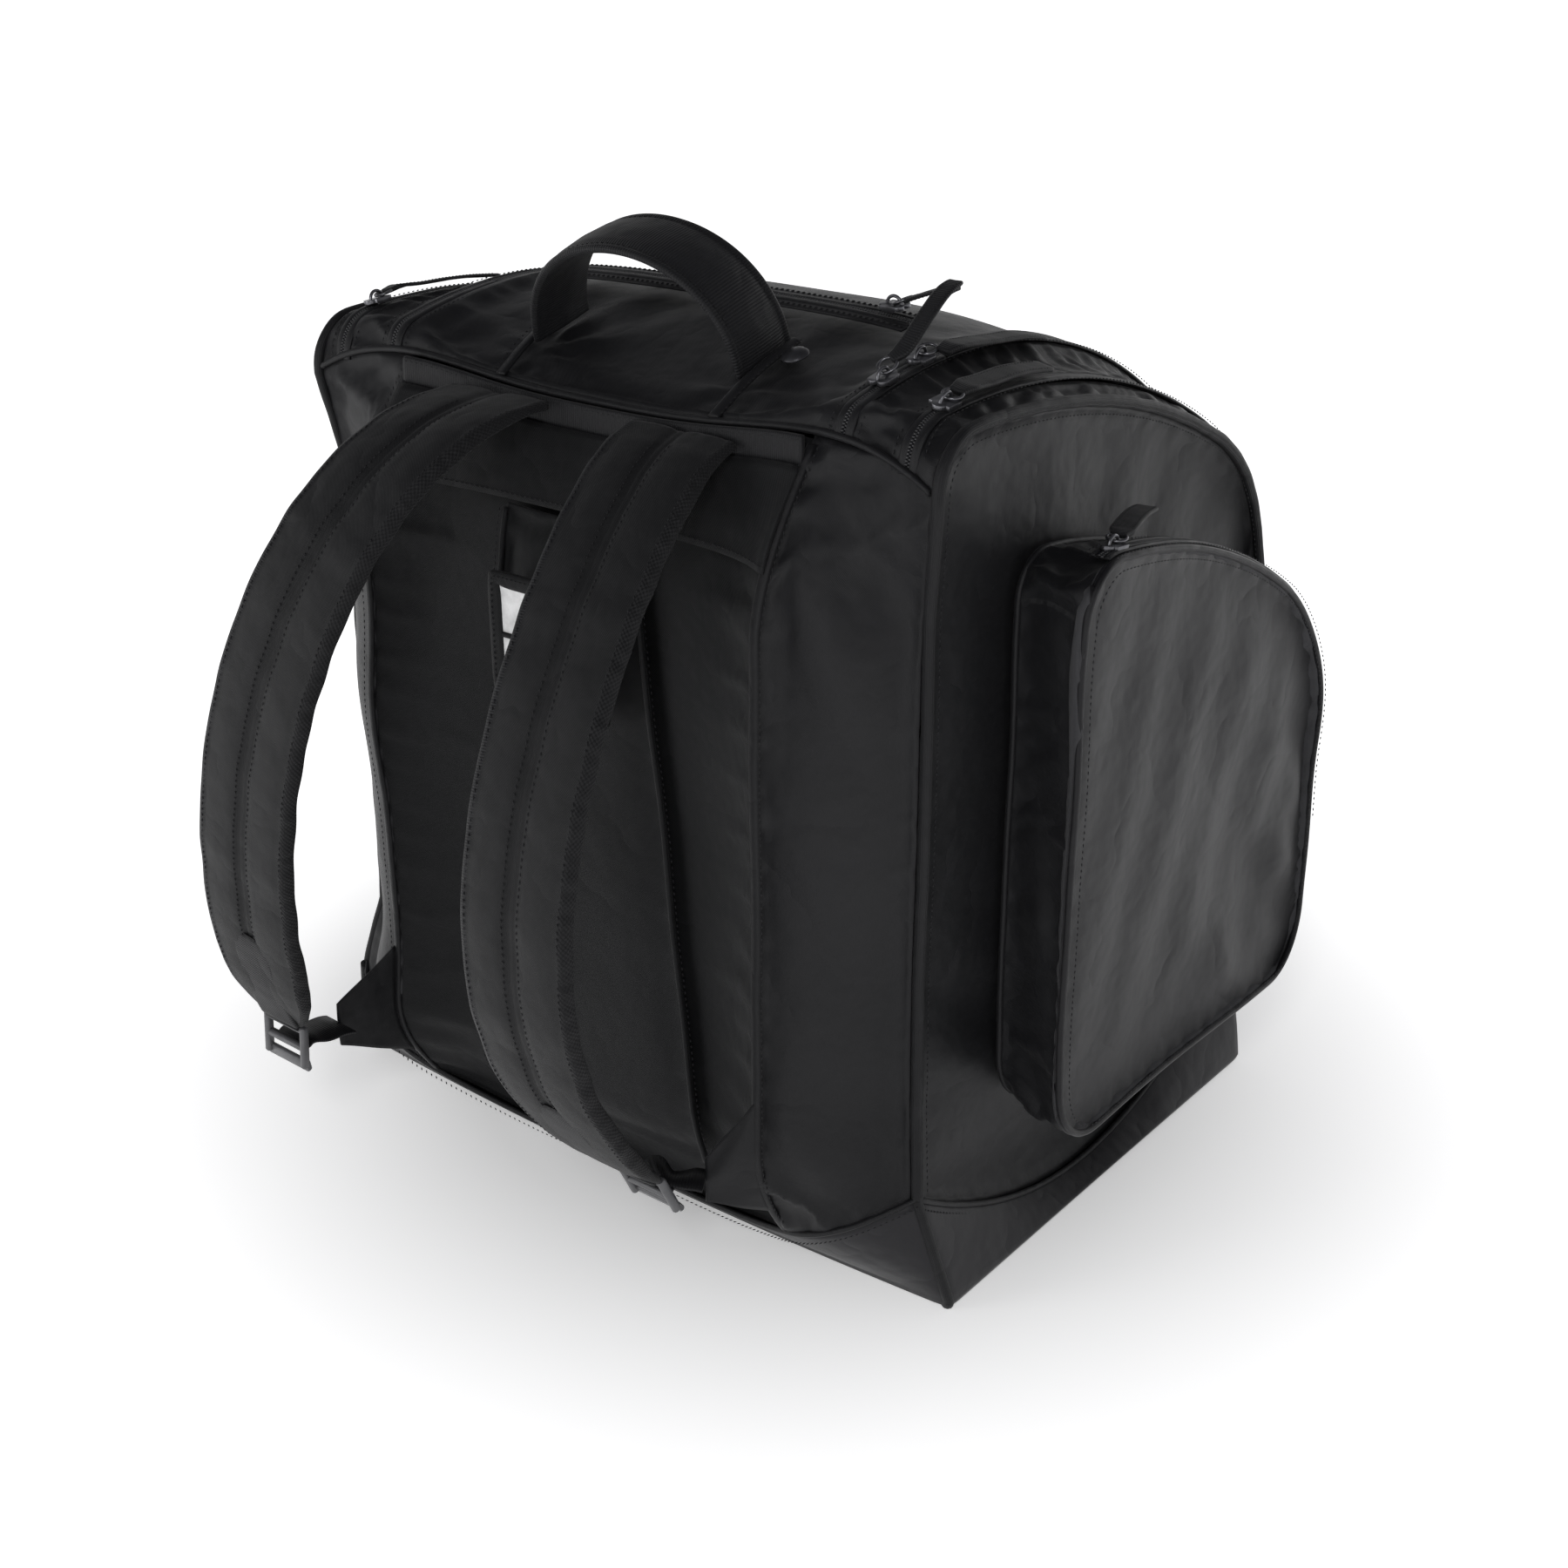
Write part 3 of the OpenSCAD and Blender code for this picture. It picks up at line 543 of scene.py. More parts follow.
def fade(shape, across=4, along=5):
    """A weight for a grid: 1 inside, and down to 0 over its outer columns and rows."""
    col, row = (np.clip(np.minimum(np.arange(n), n - 1 - np.arange(n)) / reach, 0, 1)
                for n, reach in zip(shape, (across, along)))
    return row * col[:, None]


lid_half = LID_ZIP_X - ZIP_HALF
lid_x = np.linspace(-lid_half, lid_half, 51)
top = over_top(lid_x, 98, LID_END + 3.5)
folds = np.zeros(top.shape[:2])
off_rivet = np.clip(np.hypot(top[..., 0] - RIVET_XY[0], top[..., 1] - RIVET_XY[1]) / 16 - 0.6, 0, 1)
for cx, cy, count, size in ((66, -140, 7, 60), (-66, -140, 8, 55), (128, -168, 9, 55), (-128, -168, 8, 60)):
    dx, dy = top[..., 0] - cx, top[..., 1] - cy
    r = np.hypot(dx, dy)
    ray = 1.9 * np.sin(count * np.arctan2(dy, dx) + cx) * np.exp(-r / size) * np.clip(r / 16, 0, 1)
    folds += ray * off_rivet
panel("top_cover", top + (folds * fade(folds.shape))[..., None] * Z)
panel("front", over_top(lid_x, 150, foot_z)[:, -32:])
for side, tag in SIDES:
    rail_x = np.linspace(LID_ZIP_X + ZIP_HALF, DOOR_ZIP_X - ZIP_HALF, 7)
    panel("rail_" + tag, over_top(side * rail_x, 150, foot_z), 1)
    panel("rim_" + tag, over_top(side * np.linspace(DOOR_ZIP_X + ZIP_HALF, PIPE_X - 2.6, 4), 150, 70.0), 1)
    wrap = rear_wall(side * np.linspace(SEAM_X, PIPE_X - 2.6, 18), rear_y, foot_z, wall_top, 72)
    dx, dz = np.abs(wrap[..., 0]) - 140, 446 - wrap[..., 2]
    hang = 4.0 * np.sin(15 * np.arctan2(dx + 30, dz + 30) + 0.8) * np.exp(-((dz - 70) / 85) ** 2)
    hang += 2.0 * np.sin(wrap[..., 2] / 15 + dx / 14) * np.exp(-((wrap[..., 2] - 95) / 45) ** 2)
    panel("wrap_" + tag, wrap - (hang * fade(hang.shape))[..., None] * Y, 1)
panel("harness", rear_wall(np.linspace(-SEAM_X, SEAM_X, 46), panel_y, foot_z, lambda x: wall_top(x) - 2, 70), 1)


def fill_grid(line_top, line_low, n):
    """Columns between two lines of (y, z) pairs that have the same y at each step."""
    t = np.linspace(0, 1, n)[None, :, None]
    return line_low[:, None] * (1 - t) + line_top[:, None] * t


def eased(n):
    t = np.linspace(0, 1, n)
    return 0.45 * t + 0.55 * (1 - np.cos(math.pi * t)) / 2


def side_grid(inset, cols, rows):
    """The D-shaped side panel as columns from the base seam to the arch."""
    arch = section(PIPE_X, 70)
    d = unit(np.gradient(arch, axis=0))
    arch = arch + np.stack([d[:, 1], -d[:, 0]], -1) * inset
    y = REAR_Y + inset + eased(cols) * (SIDE_DEPTH - 2 * inset)
    rear = [[REAR_Y + inset, wall_top(PIPE_X)]]
    arch = np.vstack([rear, arch[arch[:, 0] > REAR_Y + inset + 0.01]])
    keep = np.r_[True, np.diff(arch[:, 0]) > 1e-3]
    arch = arch[keep]
    z_top = np.interp(y, arch[:, 0], arch[:, 1])
    z_low = np.array([seam_z(min(v - REAR_Y, FRONT_Y - v)) for v in y]) + 1
    return fill_grid(np.column_stack([y, z_top]), np.column_stack([y, z_low]), rows)


for side, tag in SIDES:
    cols, rows = 54, 66
    g = side_grid(2.8, cols, rows)
    u, v = np.linspace(-1, 1, cols)[:, None], np.linspace(-1, 1, rows)[None, :]
    turned = np.arctan2(g[..., 1] - 120, g[..., 0] + 60)
    below = np.linspace(1, 0, rows)[None, :] * (g[:, -1:, 1] - g[:, :1, 1])
    near = np.exp(-np.abs(below) / 52) * (1 - v ** 8)
    rays = 2.8 * np.sin(24 * turned + 1.7 * np.sin(5.3 * turned)) * near * np.clip((g[..., 0] + 165) / 60, 0, 1)
    slack_low = 2.6 * np.sin((g[..., 1] * 1.25 + g[..., 0] * 0.55) / 11.5)
    slack_low = slack_low * np.exp(-((g[..., 1] - 130) / 60) ** 2) * np.exp(-((g[..., 0] + 120) / 50) ** 2)
    puff = 3.5 * (1 - u ** 6) * (1 - v ** 6) + rays + slack_low * (1 - u ** 8)
    panel("side_" + tag, np.dstack([side * (SIDE_X + puff), g]), 1, towards=(side, 0, 0))

POCKET_ARC, POCKET_ENDS = np.array([-130.0, -18.0, 413.0]), [-118.0, 26.0, 149.0, 125.0]
POCKET_Z, POCKET_ROUND, POCKET_X, POCKET_ZIP_X = 85.0, 38.0, 247.0, 240.0


def pocket_outline(g, n):
    """Closed outline of the side pocket as (y, z), drawn in by g, from the rear edge over the top."""
    a, e = POCKET_ARC, POCKET_ENDS
    rear, front, hr, hf = corners(a, e)
    r = POCKET_ROUND
    line = np.concatenate([
        turn(rear, e[1] - g, math.pi, hr, 14), turn(a[:2], a[2] - g, hr, hf, 60),
        turn(front, e[3] - g, hf, 0, 40),
        turn((e[2] - r, POCKET_Z + r), r - g, 0, -math.pi / 2, 16),
        turn((e[0] + r, POCKET_Z + r), r - g, -math.pi / 2, -math.pi, 16)])
    return resample(tidy(line), n, closed=True)


def pocket_rim(n=190):
    root, face = pocket_outline(5, n), pocket_outline(0, n)
    back = np.clip((20 - root[:, 0]) / 130, 0, 1)[:, None]
    root = root + np.array([7.0, 0]) * back
    return root, face


for side, tag in SIDES:
    root, face = pocket_rim()
    rows = []
    for k in np.linspace(0, 1, 9):
        ring = root * (1 - k) + face * k
        centre = np.array([15.0, 215.0])
        around = np.arange(len(ring)) * 7.2
        pucker = 1.5 * np.sin(around / 10.5 + 1.3 * np.sin(around / 47)) + 1.6 * np.sin(around / 31 + 5 * k)
        ring = ring + unit(ring - centre) * (3.2 + pucker[:, None]) * math.sin(math.pi * k)
        rows.append(np.column_stack([np.full(len(ring), side * (203.0 + 42.5 * k)), ring]))
    grid = soften(np.array(rows))
    n = grid_normals(grid, True)
    if (n * (grid - np.array([side * 225, 15, 215.0]))).sum(-1).mean() < 0:
        grid = grid[::-1]
    held = np.zeros(grid.shape[:2], bool)
    held[:1] = held[-1:] = True
    PANELS["gusset_" + tag] = [grid, held, 1.0]
    y = POCKET_ENDS[0] + 0.6 + eased(46) * (POCKET_ENDS[2] - POCKET_ENDS[0] - 1.2)
    ring = pocket_outline(0.5, 600)
    mid = POCKET_Z + 60
    upper, lower = ring[ring[:, 1] > mid - 25], ring[ring[:, 1] <= mid + 25]
    upper, lower = upper[np.argsort(upper[:, 0])], lower[np.argsort(lower[:, 0])]
    z1, z0 = np.interp(y, upper[:, 0], upper[:, 1]), np.interp(y, lower[:, 0], lower[:, 1])
    g = fill_grid(np.column_stack([y, z1]), np.column_stack([y, z0]), 54)
    u, v = np.linspace(-1, 1, 46)[:, None], np.linspace(-1, 1, 54)[None, :]
    diag = (g[..., 0] * 0.55 + g[..., 1] * 0.83)
    cross = (g[..., 0] * 0.83 - g[..., 1] * 0.55)
    folds = 3.4 * np.sin(diag / 17 + 1.6 * np.sin(cross / 55 + 0.5)) * np.exp(-((cross + 10) / 95) ** 2)
    folds = folds * (1 - u ** 4) * (1 - v ** 4)
    fine = 1.7 * np.sin(diag / 6.2 + 1.1 * np.sin(cross / 22)) * np.exp(-((cross - 20) / 60) ** 2)
    fine = fine + np.sin(cross / 8.5 + diag / 31)
    folds = folds + fine * (1 - u ** 4) * (1 - v ** 4)
    puff = 4.5 * (1 - u ** 8) * (1 - v ** 8) + folds
    panel("pocket_" + tag, np.dstack([side * (POCKET_X - 1.0 + puff), g]), 1, towards=(side, 0, 0), slack=1.2)

PAD_LOW, PAD_HIGH, PAD_THICK = 47.0, 388.0, 12.5


def pad_point(u, z):
    """A point of the back pad's face: u goes from -1 to 1 across it, and it thins out towards its edges."""
    ends = [math.sin(math.pi / 2 * min(d, 1)) ** 0.6 for d in ((z - PAD_LOW + 1) / 26, (PAD_HIGH + 1 - z) / 22)]
    x = u * pad_half(z)
    return [x, panel_y(x, z) - 0.6 - PAD_THICK * (1 - abs(u) ** 3.2) * ends[0] * ends[1], z]


pad = np.array([[pad_point(u, z) for z in np.linspace(PAD_LOW, PAD_HIGH, 62)] for u in np.linspace(-1, 1, 27)])
panel("pad", pad, 1, towards=(0, -1, 0))


# shrink_min below 0 makes the cloth too large, here by 3 %.
CLOTH = {"quality": 6, "mass": 0.3, "tension_stiffness": 12, "compression_stiffness": 12, "shear_stiffness": 4,
         "bending_stiffness": 1.2, "tension_damping": 12, "compression_damping": 12, "bending_damping": 1.0,
         "air_damping": 2.0, "vertex_group_mass": "held", "shrink_min": -0.03, "use_pressure": True,
         "uniform_pressure_force": 2.6}
WORK_SCALE = 10


def settle(frames, cap):
    """One cloth simulation for all the panels: sewn edges are held, and the rest is a little large."""
    verts, faces, pins, start = [], [], [], 0
    for name, (p, held, slack) in PANELS.items():
        wrap = name.startswith("gusset")
        faces += [tuple(f) for f in quads(*p.shape[:2], wrap, start)]
        n = grid_normals(p, wrap)
        bumpy = RNG.normal(0, 1, p.shape[:2])
        for _ in range(2):
            bumpy = sum((np.roll(bumpy, way, axis) for axis in (0, 1) for way in (1, -1)), bumpy) / 5
        verts.append((p + n * (bumpy * 0.9 * slack * ~held)[..., None]).reshape(-1, 3))
        pins.append(held.ravel())
        start += p.shape[0] * p.shape[1]
    verts, pins = np.concatenate(verts), np.concatenate(pins)
    obj = new_mesh("cloth_work", verts * WORK_SCALE, faces, [NYLON])
    group = obj.vertex_groups.new(name="held")
    group.add(np.nonzero(pins)[0].tolist(), 1.0, "REPLACE")
    mod = obj.modifiers.new("cloth", "CLOTH")
    for key, value in CLOTH.items():
        setattr(mod.settings, key, value)
    mod.settings.effector_weights.gravity = 0
    mod.collision_settings.use_collision = False
    mod.point_cache.frame_start, mod.point_cache.frame_end = 1, frames
    scene = bpy.context.scene
    for f in range(1, frames + 1):
        scene.frame_set(f)
    mesh = obj.evaluated_get(bpy.context.evaluated_depsgraph_get()).data
    co = np.zeros(len(mesh.vertices) * 3, np.float32)
    mesh.vertices.foreach_get("co", co)
    scene.frame_set(1)
    co = co.reshape(-1, 3) / MM / WORK_SCALE
    bpy.data.objects.remove(obj)
    at = 0
    for name, row in PANELS.items():
        p = row[0]
        size = p.shape[0] * p.shape[1]
        move = co[at:at + size].reshape(p.shape) - p
        far = np.linalg.norm(move, axis=-1, keepdims=True)
        row[0] = p + move * np.minimum(1, cap * np.tanh(far / cap) / np.maximum(far, 1e-6))
        row[0][row[1]] = p[row[1]]
        at += size


settle(22, 6.5)


def finer(p, wrap=False):
    """Twice as fine, on smooth curves through the same points."""
    def along(q, closed):
        a = np.roll(q, 1, 0) if closed else np.concatenate([2 * q[:1] - q[1:2], q[:-1]])
        b = np.roll(q, -1, 0) if closed else np.concatenate([q[1:], 2 * q[-1:] - q[-2:-1]])
        c = np.roll(q, -2, 0) if closed else np.concatenate([b[1:], 2 * b[-1:] - b[-2:-1]])
        half = (9 * (q + b) - (a + c)) / 16
        out = np.empty((2 * len(q),) + q.shape[1:])
        out[0::2], out[1::2] = q, half
        return out if closed else out[:-1]
    p = along(p, False)
    return np.swapaxes(along(np.swapaxes(p, 0, 1), wrap), 0, 1)


SKIN = {"top_cover": (NYLON, LINING), "front": (NYLON, LINING), "harness": (HARNESS, LINING), "pad": (HARNESS,)}
SLOTS = {"harness": "harness_cloth", "pad": "harness_cloth"}
NODES = {"front": ("bag", ["front_panel"]), "harness": ("bag", ["harness_panel"]), "pad": ("bag", ["back_pad"])}
for tag in ("right", "left"):
    NODES["rail_" + tag] = ("bag", ["top_rail_" + tag])
    NODES["rim_" + tag] = ("door_" + tag, ["door_rim_" + tag])
    NODES["wrap_" + tag] = ("bag", ["rear_wrap_" + tag])
    NODES["side_" + tag] = ("door_" + tag, ["side_panel_" + tag])
    NODES["gusset_" + tag] = ("door_" + tag, ["pocket_gusset_" + tag])
    NODES["pocket_" + tag] = ("flap_" + tag, ["pocket_flap_" + tag])
    SKIN["pocket_" + tag] = (POCKET, LINING)
    SLOTS["pocket_" + tag] = "pocket_nylon"

for name, (p, held, slack) in PANELS.items():
    wrap = name.startswith("gusset")
    thick = 1.2 if name == "pad" else 2.4
    obj = shell(name, finer(p, wrap), thick, SKIN.get(name, (NYLON, LINING)), wrap)
    if name == "top_cover":
        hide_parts("lid_panel", "top_bridge")
        z = top_z(0, LID_FOLD) * MM
        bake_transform(obj)
        continue
    body, nodes = NODES[name]
    place(obj, body, SLOTS.get(name, "nylon"), *nodes)

# ---------------------------------------------------------------- base

REACH = SIDE_X / BASE_W


def base_loop():
    """The base's outline at the floor and its seam, as two closed loops of points that go round together."""
    low, high = [], []
    for x in np.linspace(-BASE_W, BASE_W, 90)[:-1]:
        low.append([x, -(BASE_D + EDGE_BOW * (1 - (x / BASE_W) ** 2)), 0])
        z = foot_z(x * REACH)
        high.append([x * REACH, rear_y(x * REACH, z) - 1.2, z])
    for t in np.linspace(0, 1, 76)[:-1]:
        low.append([BASE_W, -BASE_D + 2 * BASE_D * t, 0])
        high.append([PIPE_X + 1.2, REAR_Y + SIDE_DEPTH * t, seam_z(min(t, 1 - t) * SIDE_DEPTH)])
    for x in np.linspace(BASE_W, -BASE_W, 90)[:-1]:
        low.append([x, BASE_D + EDGE_BOW * (1 - (x / BASE_W) ** 2), 0])
        high.append([x * REACH, ends_at(x * REACH)[2] + 1.0, foot_z(x * REACH)])
    for t in np.linspace(1, 0, 76)[:-1]:
        low.append([-BASE_W, -BASE_D + 2 * BASE_D * t, 0])
        high.append([-PIPE_X - 1.2, REAR_Y + SIDE_DEPTH * t, seam_z(min(t, 1 - t) * SIDE_DEPTH)])
    low, high = np.array(low, float), np.array(high, float)
    for k, kern in ((low, 2), (high, 1)):
        for _ in range(kern):
            k[:, :2] = (np.roll(k, 1, 0) + 2 * k + np.roll(k, -1, 0))[:, :2] / 4
    return low, high


LOW, HIGH = base_loop()
HIGH = soften(HIGH)
out_way = unit(np.column_stack([LOW[:, :2], np.zeros(len(LOW))]) * [1 / BASE_W, 1 / CORNER_REACH, 0])
rows = [LOW - out_way * into + [0, 0, z] for into, z in ((60, 0), (9, 0), (4, 0.4), (1.2, 1.8), (0, 4.5))]
start = rows[-1]
for k in np.linspace(0, 1, 12)[1:]:
    swell_out = 2.2 * math.sin(math.pi * k) * np.clip(HIGH[:, 2:] / 40, 0.2, 1)
    rows.append(start * (1 - k) + HIGH * k + out_way * swell_out)
rows.append(HIGH - out_way * 2.4 - [0, 0, 0.3])
grid = np.array(rows)
if (grid_normals(grid, True)[6:10] * out_way).sum(-1).mean() < 0:
    grid = grid[:, ::-1]
n, m = grid.shape[:2]
faces = [tuple(f) for f in quads(n, m, True)]
faces.append(tuple(range(m)))
tray = new_mesh("base_tray_cloth", grid.reshape(-1, 3), faces, [COATED], uv=grid_uv(grid))
place(tray, "bag", "coated_base", "base_tray")
ring, ring_out = np.vstack([HIGH, HIGH[:1]]), np.vstack([out_way, out_way[:1]])
stitch("bag", ring * [1.004, 1.004, 1] - [0, 0, 3.2], ring_out, lift=1.2)
place(sweep("base_seam", ring + [0, 0, 0.8], Z, ring_out, circle(1.5, 10), [NYLON], caps=False), "bag", "nylon")

# ---------------------------------------------------------------- piping and seams

# The piping's lower stretch, down the base corners to the floor.
for k, tag in ((89, "rear_right"), (0, "rear_left")):
    k = k if np.allclose(grid[4, 89, :2], LOW[89, :2], atol=0.1) else (len(LOW) - 1 - k)
    way = unit([LOW[k, 0], LOW[k, 1], 0.0])
    foot = resample(np.array([row[k] for row in grid[2:-1]]), 40)
    foot = foot + way * 1.6
    flank = unit(np.cross(directions(foot), way))
    out = np.cross(directions(foot), flank)
    cord = sweep("base_piping_" + tag, foot, flank, out, circle(PIPE_R, 12), [PIPING])
    place(cord, "bag", "piping")


def outward(outline):
    """Unit vectors square to an outline of (y, z) points, in its plane."""
    d = unit(np.gradient(outline, axis=0))
    return np.column_stack([np.zeros(len(d)), -d[:, 1], d[:, 0]])


def arch_frame(x, z_end, y_start=None, y_stop=None, n=400, rear=False):
    """A line at x over the top with its outward directions. rear adds the vertical stretch above the base seam."""
    line = section(x, z_end, y_start, y_stop)
    if rear:
        z = np.linspace(PIPE_END, line[0, 1], 60)[:-1]
        line = np.vstack([np.column_stack([np.full(len(z), line[0, 0]), z]), line])
    line = resample(line, n)
    return np.column_stack([np.full(n, x), line]), outward(line)


for side, tag in SIDES:
    line, up = arch_frame(side * PIPE_X, PIPE_END, n=620, rear=True)
    line = soften(line)
    t = np.arange(len(line))
    wob = 0.18 * np.sin(t / 2.1) + 0.12 * np.sin(t / 3.7 + 1)
    cord = sweep("piping_" + tag, line + up * wob[:, None] * 0.6, X, up,
                 circle(PIPE_R, 12), [PIPING])
    place(cord, "door_" + tag, "piping", "side_piping_" + tag)
    out = side * X
    stitch("door_" + tag, line - up * 6.2 + out * 1.2, out, lift=0.6)

# Top-stitched seams where the wraps meet the harness side.
for side in (1, -1):
    z = np.linspace(foot_z(SEAM_X) + 2, wall_top(SEAM_X) - 4, 90)
    seam = soften(np.array([[side * SEAM_X, rear_y(SEAM_X, v), v] for v in z]))
    back = -Y
    lip = [(-2.2, -1.2), (-2.0, 0.5), (-0.9, 1.15), (0.5, 1.1), (1.9, 0.55), (3.4, -0.8), (0.5, -1.5)]
    ridge = sweep("wrap_seam_" + ("right" if side > 0 else "left"), seam, side * X, back, lip, [NYLON])
    place(ridge, "bag", "nylon")
    stitch("bag", seam + [side * 4.5, -0.1, 0], back, lift=0.35)

# ---------------------------------------------------------------- zips


def teeth(name, line, side, up, body, pitch=1.55, half=1.0):
    """One side of a coil: a short rounded tooth at each turn."""
    total = length_of(line)
    n = int(total / pitch)
    d = distances(line)
    t = (np.arange(n) + (0.25 if half > 0 else 0.75)) / n * total
    c, s, u = (between_points(t, d, v) for v in (line, side, up))
    s, u = unit(s) * half, unit(u)
    w = unit(np.cross(s, u))
    ring = [(-0.42, 0.5), (0.9, 0.85), (2.3, 0.35), (0.9, -0.3)]
    block = np.stack([c + s * a + u * h + w * k * 0.52 for k in (-1, 1) for a, h in ring], 1)
    verts = block.reshape(-1, 3)
    faces = []
    for i in range(n):
        o = i * 8
        faces += [(o, o + 1, o + 2, o + 3), (o + 7, o + 6, o + 5, o + 4)]
        faces += [(o + k, o + 4 + k, o + 4 + (k + 1) % 4, o + (k + 1) % 4) for k in range(4)]
    obj = new_mesh(name, verts, faces, [COIL])
    return place(obj, body, "zip_coil")


def strip(name, line, side, up, a, b, body, mat=None, slot="zip_coil", lift=(-0.2, -0.6)):
    prof = [(a, lift[0]), ((a + b) / 2, lift[0] + 0.15), (b, lift[0]), (b, lift[1]), (a, lift[1])]
    obj = sweep(name, line, side, up, prof, [mat or TAPE])
    return place(obj, body, slot)


def zip_line(name, line, side, up, body_a, body_b, cover=1.0):
    """A zip: tape, coil and folded lips, one half on each body. side points from body_a to body_b."""
    side, up = (np.broadcast_to(v, line.shape) for v in (side, up))
    fold = np.array([(5.6, -0.4), (5.2, 0.35), (4.3, 0.95), (3.1, 1.15), (2.0, 1.1), (1.15, 0.8), (0.75, 0.2),
                     (0.8, -0.5), (3.0, -0.75)])
    for half, body in ((-1, body_a), (1, body_b)):
        tag = name + ("_near" if half < 0 else "_far")
        strip(tag + "_tape", line, side * half, up, 0.35, 5.4, body)
        teeth(tag + "_coil", line, side, up, body, half=half)
        cov = np.broadcast_to(cover, (len(line),))[:, None]
        prof = np.repeat(fold[None], len(line), 0)
        open_a = np.interp(prof[..., 0], (0.75, 5.6), (3.2, 5.6))
        prof[..., 0] = open_a * (1 - cov) + prof[..., 0] * cov
        wavy = 1 + 0.06 * np.sin(np.arange(len(line)) / 4.3)[:, None]
        prof[..., 1] *= wavy * 0.85
        lipped = sweep(tag + "_lip", line, side * half, up, prof, [NYLON])
        place(lipped, body, "nylon")
        stitch(body, line + side * half * 8.2 + up * 0.1, up)


def lid_path():
    """The lid's zip from its right slider, forwards and down, across the front and back up the left."""
    right, up_r = arch_frame(LID_ZIP_X, LID_END + LID_BEND, y_start=LID_FOLD + 2, n=260)
    left, up_l = arch_frame(-LID_ZIP_X, LID_END + LID_BEND, y_start=LID_FOLD + 2, n=260)
    side_r = np.tile([1.0, 0, 0], (260, 1))
    bend, up_b, side_b = [], [], []
    for t in np.linspace(0, math.pi / 2, 14)[1:-1]:
        x = LID_ZIP_X - LID_BEND + LID_BEND * math.cos(t)
        bend.append([x, ends_at(x)[2], LID_END + LID_BEND - LID_BEND * math.sin(t)])
        side_b.append([math.cos(t), 0, -math.sin(t)])
        up_b.append([0, 1, 0])
    cross_x = np.linspace(LID_ZIP_X - LID_BEND, -LID_ZIP_X + LID_BEND, 100)
    front = [[x, ends_at(x)[2], LID_END] for x in cross_x]
    line = np.vstack([right, bend, front, np.array(bend)[::-1] * [-1, 1, 1], left[::-1]])
    up = np.vstack([up_r, up_b, [[0, 1, 0]] * 100, up_b[::-1], up_l[::-1]])
    side = np.vstack([side_r, side_b, [[0, 0, -1]] * 100, np.array(side_b)[::-1] * [-1, 1, 1], -side_r])
    return soften(line), side.astype(float), up.astype(float)


line, side, up = lid_path()
step = np.linspace(0, 1, len(line))
zip_line("lid_zip", line, side, up, "lid", "bag", np.clip(1.6 - np.abs(step - 0.02) * 14, 0.15, 1))
for x in (1, -1):
    back_line, back_up = arch_frame(x * LID_ZIP_X, 0, y_stop=LID_FOLD + 2, n=60)
    zip_line("lid_zip_rear_" + ("r" if x > 0 else "l"), soften(back_line), x * X, back_up,
             "bag", "bag", 1.0)
for x, tag in SIDES:
    line, up = arch_frame(x * DOOR_ZIP_X, 76, n=440)
    step = np.linspace(0, 1, 440)
    zip_line("door_zip_" + tag, soften(line), x * X, up, "bag", "door_" + tag,
             np.clip(1.7 - step * 2.6, 0.3, 1))

# The zip of the pocket on the lid, under two folded lips.
LID_ZIP_Y, LID_ZIP_HALF = -65.0, 112.0
slope = -math.asin((LID_ZIP_Y - MID_ARC[0]) / MID_ARC[2])
x = np.linspace(-LID_ZIP_HALF, LID_ZIP_HALF, 160)
line = np.array([[v, LID_ZIP_Y, top_z(v, LID_ZIP_Y) + 0.8] for v in x])
line[:, 2] = np.minimum(line[:, 2], top_z(0, LID_ZIP_Y) + 0.8)
fwd = np.array([0, math.cos(slope), math.sin(slope)])
upw = np.array([0, -math.sin(slope), math.cos(slope)])
zip_line("top_pocket_zip", line, fwd, upw, "lid", "lid", np.clip((100 - x) / 30, 0.25, 1))
band = mirrored([(-11, -1.2), (-10.6, 0.1), (-9, 0.45), (-5, 0.55)])
flat = sweep("top_pocket_band", line - upw * 0.4, fwd, upw, band, [NYLON])
place(flat, "lid", "nylon", "lid_zip")
for v in (-9.2, 9.2):
    stitch("lid", line + fwd * v + upw * 0.1, upw)

